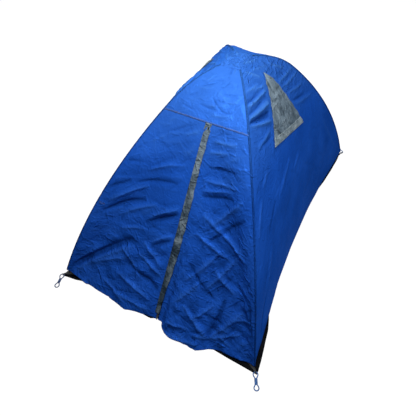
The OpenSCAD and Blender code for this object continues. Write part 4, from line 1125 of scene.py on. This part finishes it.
def floor_wall(name, seed, material):
    """Low wall of the floor, which leans in behind the cover."""
    count = len(tub_ring(0.0))
    sheet = Sheet(count - 1, 10, seed)
    column = np.round(sheet.u * (count - 1)).astype(int)
    points = np.zeros((len(column), 3))
    for w in np.unique(sheet.w.round(6)):
        row = np.abs(sheet.w - w) < 1e-5
        z = 0.001 + w * (TUB_H - 0.001)
        points[row, :2], points[row, 2] = tub_ring(z)[column[row]], z
    lengths = np.concatenate([[0], np.cumsum(np.linalg.norm(np.diff(tub_ring(0.0), axis=0), axis=1))])
    sheet.place(points, stack(lengths[column], points[:, 2]))
    sheet.crinkle(260, (0.04, 0.12), (0.006, 0.011), (0.12, 0.3), turn=1.4, spread=0.5)
    sheet.lift = np.minimum(0.0015, sheet.lift)
    made = sheet.finish(name, material, ease(sheet.w * 3), thickness=0.0012)
    merge_seam(made.data)
    return made


def floor_sheet(name, seed, material):
    """Floor, drawn out past the hem at the front corners and along the right side, where it shows."""
    sheet = Sheet(120, 160, seed)
    u, w = (0.5 - 0.5 * np.cos(math.pi * part) for part in (sheet.u, sheet.w))
    rear_y = KY * float(reach_at(0.0, -TUB_INSET)) + 0.004 - bow(REAR_BOW, 0.0, 2 * u - 1)
    y = mix(np.interp((u - 0.5) * BASE_W, *zip(*FLOOR_FRONT)), rear_y, w)
    hem_x = BASE_W / 2 - bow(SIDE_BOW, 0.0, np.clip(2 * y / BASE_L, -1, 1))
    x = mix(-hem_x - np.interp(y, *zip(*FLOOR_LEFT)), hem_x + np.interp(y, *zip(*FLOOR_RIGHT)), u)
    points = stack(x, y, 0 * y + 0.0009)
    sheet.place(points, points[:, :2], inside=(0, 0, -1))
    sheet.crinkle(420, (0.1, 0.4), (0.006, 0.014), (0.05, 0.14))
    sheet.lift = np.clip(sheet.lift, -0.0002, 0.0014)
    inner = ease(np.minimum(u, 1 - u) / 0.06) * ease(np.minimum(w, 1 - w) / 0.05)
    return sheet.finish(name, material, inner, thickness=0.0006, cut=open_eyelets)


def open_eyelets(bm):
    """Opens the floor round the eyelets."""
    rings = np.array([vert.co for vert in nodes["corner_eyelets"].data.vertices])[:, :2]
    gone = set()
    for _, signs, *_ in LOOPS:
        ring = rings[(np.sign(rings) == signs).all(axis=1)]
        middle = (ring.min(0) + ring.max(0)) / 2
        gone.update(
            face for face in bm.faces if math.dist(face.calc_center_median()[:2], middle) < EYELET_HOLE
        )
    bmesh.ops.delete(bm, geom=list(gone), context="FACES")


# Zip


TAPE_LOW, TAPE_INNER, TAPE_OUTER, TAPE_NARROW, TAPE_H = 0.008, 0.0034, 0.024, 0.006, -0.0013


def zip_tape(name, side, foot_x, material):
    """Woven tape down one edge of the door, narrowed at the top where the leaf runs out."""
    sheet = Sheet(8, 200)
    v = mix(TAPE_LOW, LEAF_TOP - 0.0006, sheet.w)
    outer = np.minimum(TAPE_OUTER, np.maximum(TAPE_NARROW, fold_at(v, foot_x) - 0.002))
    x = mix(TAPE_INNER, outer, sheet.u)
    points = on_slope(side * x, v, TAPE_H * ease((x - 0.004) / 0.003))
    sheet.place(points, stack(x - 0.0145, v), inside=(0, 0, 0))
    sheet.lift += 0.0001 * np.sin(v * 400)
    return sheet.finish(name, material, thickness=0.0007)


TOOTH_PITCH, TOOTH_LEAN = 0.0026, 0.25
TOOTH_SIZE, TOOTH_AT = (0.0029, 0.00105, 0.0028, 1), (0.0017, 0.034, 0.0005)


def zip_coil(name, side, material):
    """Row of coil teeth: each is a small hoop that reaches across to its neighbour."""
    bm = bmesh.new()
    shift = 0.0 if side > 0 else TOOTH_PITCH / 2
    across, up, out = Vector((1, 0, 0)), Vector((0, SIN_L, COS_L)), Vector((0, -COS_L, SIN_L))
    slope = Matrix((across, up, out)).transposed().to_4x4()
    base = Matrix.Translation((ZIP_X, -BASE_L / 2, 0)) @ slope
    for tooth in range(int((LEAF_TOP - 0.040) / TOOTH_PITCH)):
        x, low, h = TOOTH_AT
        at = Matrix.Translation((side * x, low + shift + tooth * TOOTH_PITCH, h))
        place = base @ at @ Matrix.Rotation(TOOTH_LEAN * side, 4, "Z") @ Matrix.Diagonal(TOOTH_SIZE)
        bmesh.ops.create_cube(bm, size=1, matrix=place)
    bmesh.ops.bevel(
        bm, geom=list(bm.edges), offset=0.0003, affect="EDGES", segments=1, profile=0.5, material=-1
    )
    bmesh.ops.recalc_face_normals(bm, faces=bm.faces)
    mesh = bpy.data.meshes.new(name)
    bm.to_mesh(mesh)
    bm.free()
    mesh.materials.append(material)
    return add_object(name, mesh)


# Peg loops
LOOP_R, LOOP_RUN, LOOP_D, TAB_REACH, LOOP_Z = 0.013, 0.068, 0.0064, 0.015, 0.0051
WRAP_FROM, WRAP_L, WRAP_TURNS, WRAP_HALF_W, WRAP_HALF_H = 0.030, 0.036, 11, 0.0088, 0.0037
LOOPS = (
    ("left_front", (-1, -1), 284, "navy_cord"), ("right_front", (1, -1), 296, "blue_cord"),
    ("right_rear", (1, 1), 127, "blue_cord"), ("left_rear", (-1, 1), 53, "navy_cord"),
)


def curve_piece(name, points, radius, material):
    """A round cord along a line of points."""
    curve = bpy.data.curves.new(name, "CURVE")
    curve.dimensions, curve.bevel_depth, curve.bevel_resolution, curve.use_fill_caps = "3D", radius, 4, True
    line = curve.splines.new("POLY")
    line.points.add(len(points) - 1)
    for point, at in zip(line.points, points):
        point.co = (*at, 1)
    curve.materials.append(material)
    return add_object(name, curve)


# Half the gap between the strands at the neck, and the length over which they narrow to it
NECK, NECK_RUN = 0.0042, 0.0235


def loop_side():
    """One strand of a loop from root to tip, as distances along and aside: it narrows to a neck halfway."""
    turns = np.linspace(math.radians(160), math.radians(90), 6)
    bend = [(LOOP_R + LOOP_R * math.cos(t), LOOP_R * math.sin(t)) for t in turns]
    for a in np.linspace(LOOP_R, LOOP_R + LOOP_RUN, 20)[1:-1]:
        from_end = min(1, (a - LOOP_R) / NECK_RUN, (LOOP_R + LOOP_RUN - a) / NECK_RUN)
        bend.append((a, mix(LOOP_R, NECK, 0.5 - 0.5 * math.cos(math.pi * from_end))))
    return bend


def peg_loop(word, signs, heading, material):
    """Cord loop at a corner, held in its tab's knuckle, with a whipping that draws its strands together."""
    way = math.radians(heading)
    droop = math.asin((LOOP_Z - LOOP_D / 2) / (LOOP_RUN + 2 * LOOP_R))
    reach = HALF_DIAG + TAB_REACH
    root = np.array((reach * signs[0] * KX, reach * signs[1] * KY, LOOP_Z))
    ahead = np.array((math.cos(way) * math.cos(droop), math.sin(way) * math.cos(droop), -math.sin(droop)))
    aside = np.array((-math.sin(way), math.cos(way), 0))
    half_turn = np.linspace(0, math.pi, 13)
    tip = [(LOOP_R + LOOP_RUN + LOOP_R * math.sin(t), LOOP_R * math.cos(t)) for t in half_turn]
    path = loop_side() + tip + [(a, -b) for a, b in reversed(loop_side())]
    points = [root + ahead * a + aside * b for a, b in path]
    cord = curve_piece(f"peg_cord_{word}", points, LOOP_D / 2, material)
    wrap = Sheet(24, 112)
    turn, along = 2 * math.pi * wrap.u, WRAP_FROM + WRAP_L * wrap.w
    strands = 1 + 0.07 * np.sin(2 * math.pi * WRAP_TURNS * wrap.w + turn)
    girth = np.maximum(0, 1 - (2 * wrap.w - 1) ** 10) ** 0.5 * strands
    spread = along[:, None] * ahead + (girth * WRAP_HALF_W * np.cos(turn))[:, None] * aside
    rise = (girth * WRAP_HALF_H * np.sin(turn))[:, None] * (0, 0, 1)
    wrap.place(root + spread + rise, stack(turn / 300, along), root + ahead * 0.04)
    collar = wrap.finish(f"peg_whipping_{word}", material, thickness=0)
    collar.modifiers.clear()
    merge_seam(collar.data)
    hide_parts(f"peg_loop_{word}")
    for piece in (cord, collar):
        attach(piece, f"peg_{word}")


make_camera()
make_studio()
paints = make_materials()

for word, signs, heading, finish in LOOPS:
    peg_loop(word, signs, heading, paints[finish])

# Cover
front_right = lower_front("cover_front_right", 1, 11, paints["cover"])
front_left = lower_front("cover_front_left", -1, 12, paints["cover"])
top_front = upper_front("cover_front_upper", 13, paints["cover"])
right_side = side_cover("cover_right", 1, 14, paints["cover"])
left_side = side_cover("cover_left", -1, 15, paints["cover"])
rear = rear_cover("cover_rear", 16, paints["cover"])
cap = crown_cap("cover_crown", 17, paints["cover"])
seam = front_seam("cover_front_seam", paints["seam"])
patch = ridge_patch("cover_patch_left", 18, paints["seam"])
laps = [ridge_lap(f"cover_ridge_{word}", *signs, paints["ridge"]) for word, signs, heading, finish in LOOPS]

# Each lower front half stands in for its panel and leaf, with its transform baked in; the top and foot of the
# leaf's fold are worked out but not used
for piece, side, foot_x, panel, leaf, body in (
    (front_right, 1, RIGHT_FOOT_X, "front_right_panel", "door_right_leaf", "door_right"),
    (front_left, -1, LEFT_FOOT_X, "front_left_panel", "door_left_leaf", "door_left"),
):
    top, foot = (Vector(on_slope(side * x, v, 0)) for x, v in ((0, ZIP_TOP), (foot_x, FOLD_FOOT)))
    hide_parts(panel, leaf)
    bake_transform(piece)
for piece, node in (
    (top_front, "front_upper_panel"), (right_side, "right_panel"), (left_side, "left_panel"),
    (rear, "rear_panel"), (cap, "crown_patch"),
):
    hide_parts(node)
for piece in (top_front, right_side, left_side, rear, cap, seam, patch, *laps):
    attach(piece, "shelter")

# Storm flap
flap = storm_flap_cloth("storm_flap_cloth", 31, paints["grey"])
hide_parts("storm_flap")
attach(flap, "storm_flap")
for name, seed, body, *shape in (
    ("storm_flap_top", 33, "door_left", FLAP_TOP + 0.0008, FLAP_STILL, top_edge, free_edge, 0.0045),
    ("storm_flap_side", 34, "shelter", HEAD_LOW, STRIP_LOW, sewn_edge, head_edge, 0.0002),
    ("storm_flap_head", 32, "shelter", STRIP_LOW + 0.0004, SLOPE_L - 0.003, sewn_edge, free_edge, 0.0036),
):
    head = flap_top(name, seed, paints["grey"], *shape)
    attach(head, body)

# Zip
halves = (("right", 1, RIGHT_FOOT_X, front_right), ("left", -1, LEFT_FOOT_X, front_left))
for word, side, foot_x, front in halves:
    tape = zip_tape(f"zip_tape_{word}_cloth", side, foot_x, paints["tape"])
    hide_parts(f"zip_tape_{word}")
    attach(tape, f"door_{word}")
    coil = zip_coil(f"zip_teeth_{word}", side, paints["coil"])
    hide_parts(f"zip_coil_{word}")
    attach(coil, f"door_{word}")

# Vent flaps, their hem bands painted paler grey as a highlight, and the nets behind them
for side, word, panel in ((1, "right", right_side), (-1, "left", left_side)):
    flap = vent_sheet(
        f"vent_flap_{word}_cloth", side, 21, paints["grey"], 0, OVER, 0.8, peak=0.8, **FLAP_SHAPE
    )
    band = vent_sheet(
        f"vent_hem_{word}", side, 22, paints["grey_hem"], 0, BAND_OVER, 0.12,
        to_w=BAND, band=True, **FLAP_SHAPE,
    )
    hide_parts(f"vent_flap_{word}")
    net = vent_sheet(f"vent_net_{word}", side, 23, paints["net"], VENT_MARGIN / 2, -0.005, 0.1, -0.003)
    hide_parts(f"vent_mesh_{word}")
    for piece, slot, body in (
        (flap, "grey_cloth", f"vent_{word}"), (band, "grey_cloth", f"vent_{word}"), (net, "net", "shelter"),
    ):
        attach(piece, body)

# Floor
floor_cloth = floor_sheet("floor_sheet", 51, paints["floor"])
wall = floor_wall("floor_wall", 52, paints["floor"])
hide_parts("groundsheet")
for piece in (floor_cloth, wall):
    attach(piece, "shelter")

# Paints of the solids that show as they are, by words in their names
FINISHES = {
    "webbing": ("corner_tab", "pole_keepers"),
    "rod": ("pole_section",),
    "steel": ("pole_ferrules",),
    "dark_metal": ("pole_tip", "corner_eyelets", "zip_slider"),
    "coil": ("zip_pull", "shock_cord"),
    "grey": ("zip_top_stop",),
}
for name, node in nodes.items():
    for finish, words in FINISHES.items():
        if any(word in name for word in words):
            node.data.materials.clear()
            node.data.materials.append(paints[finish])
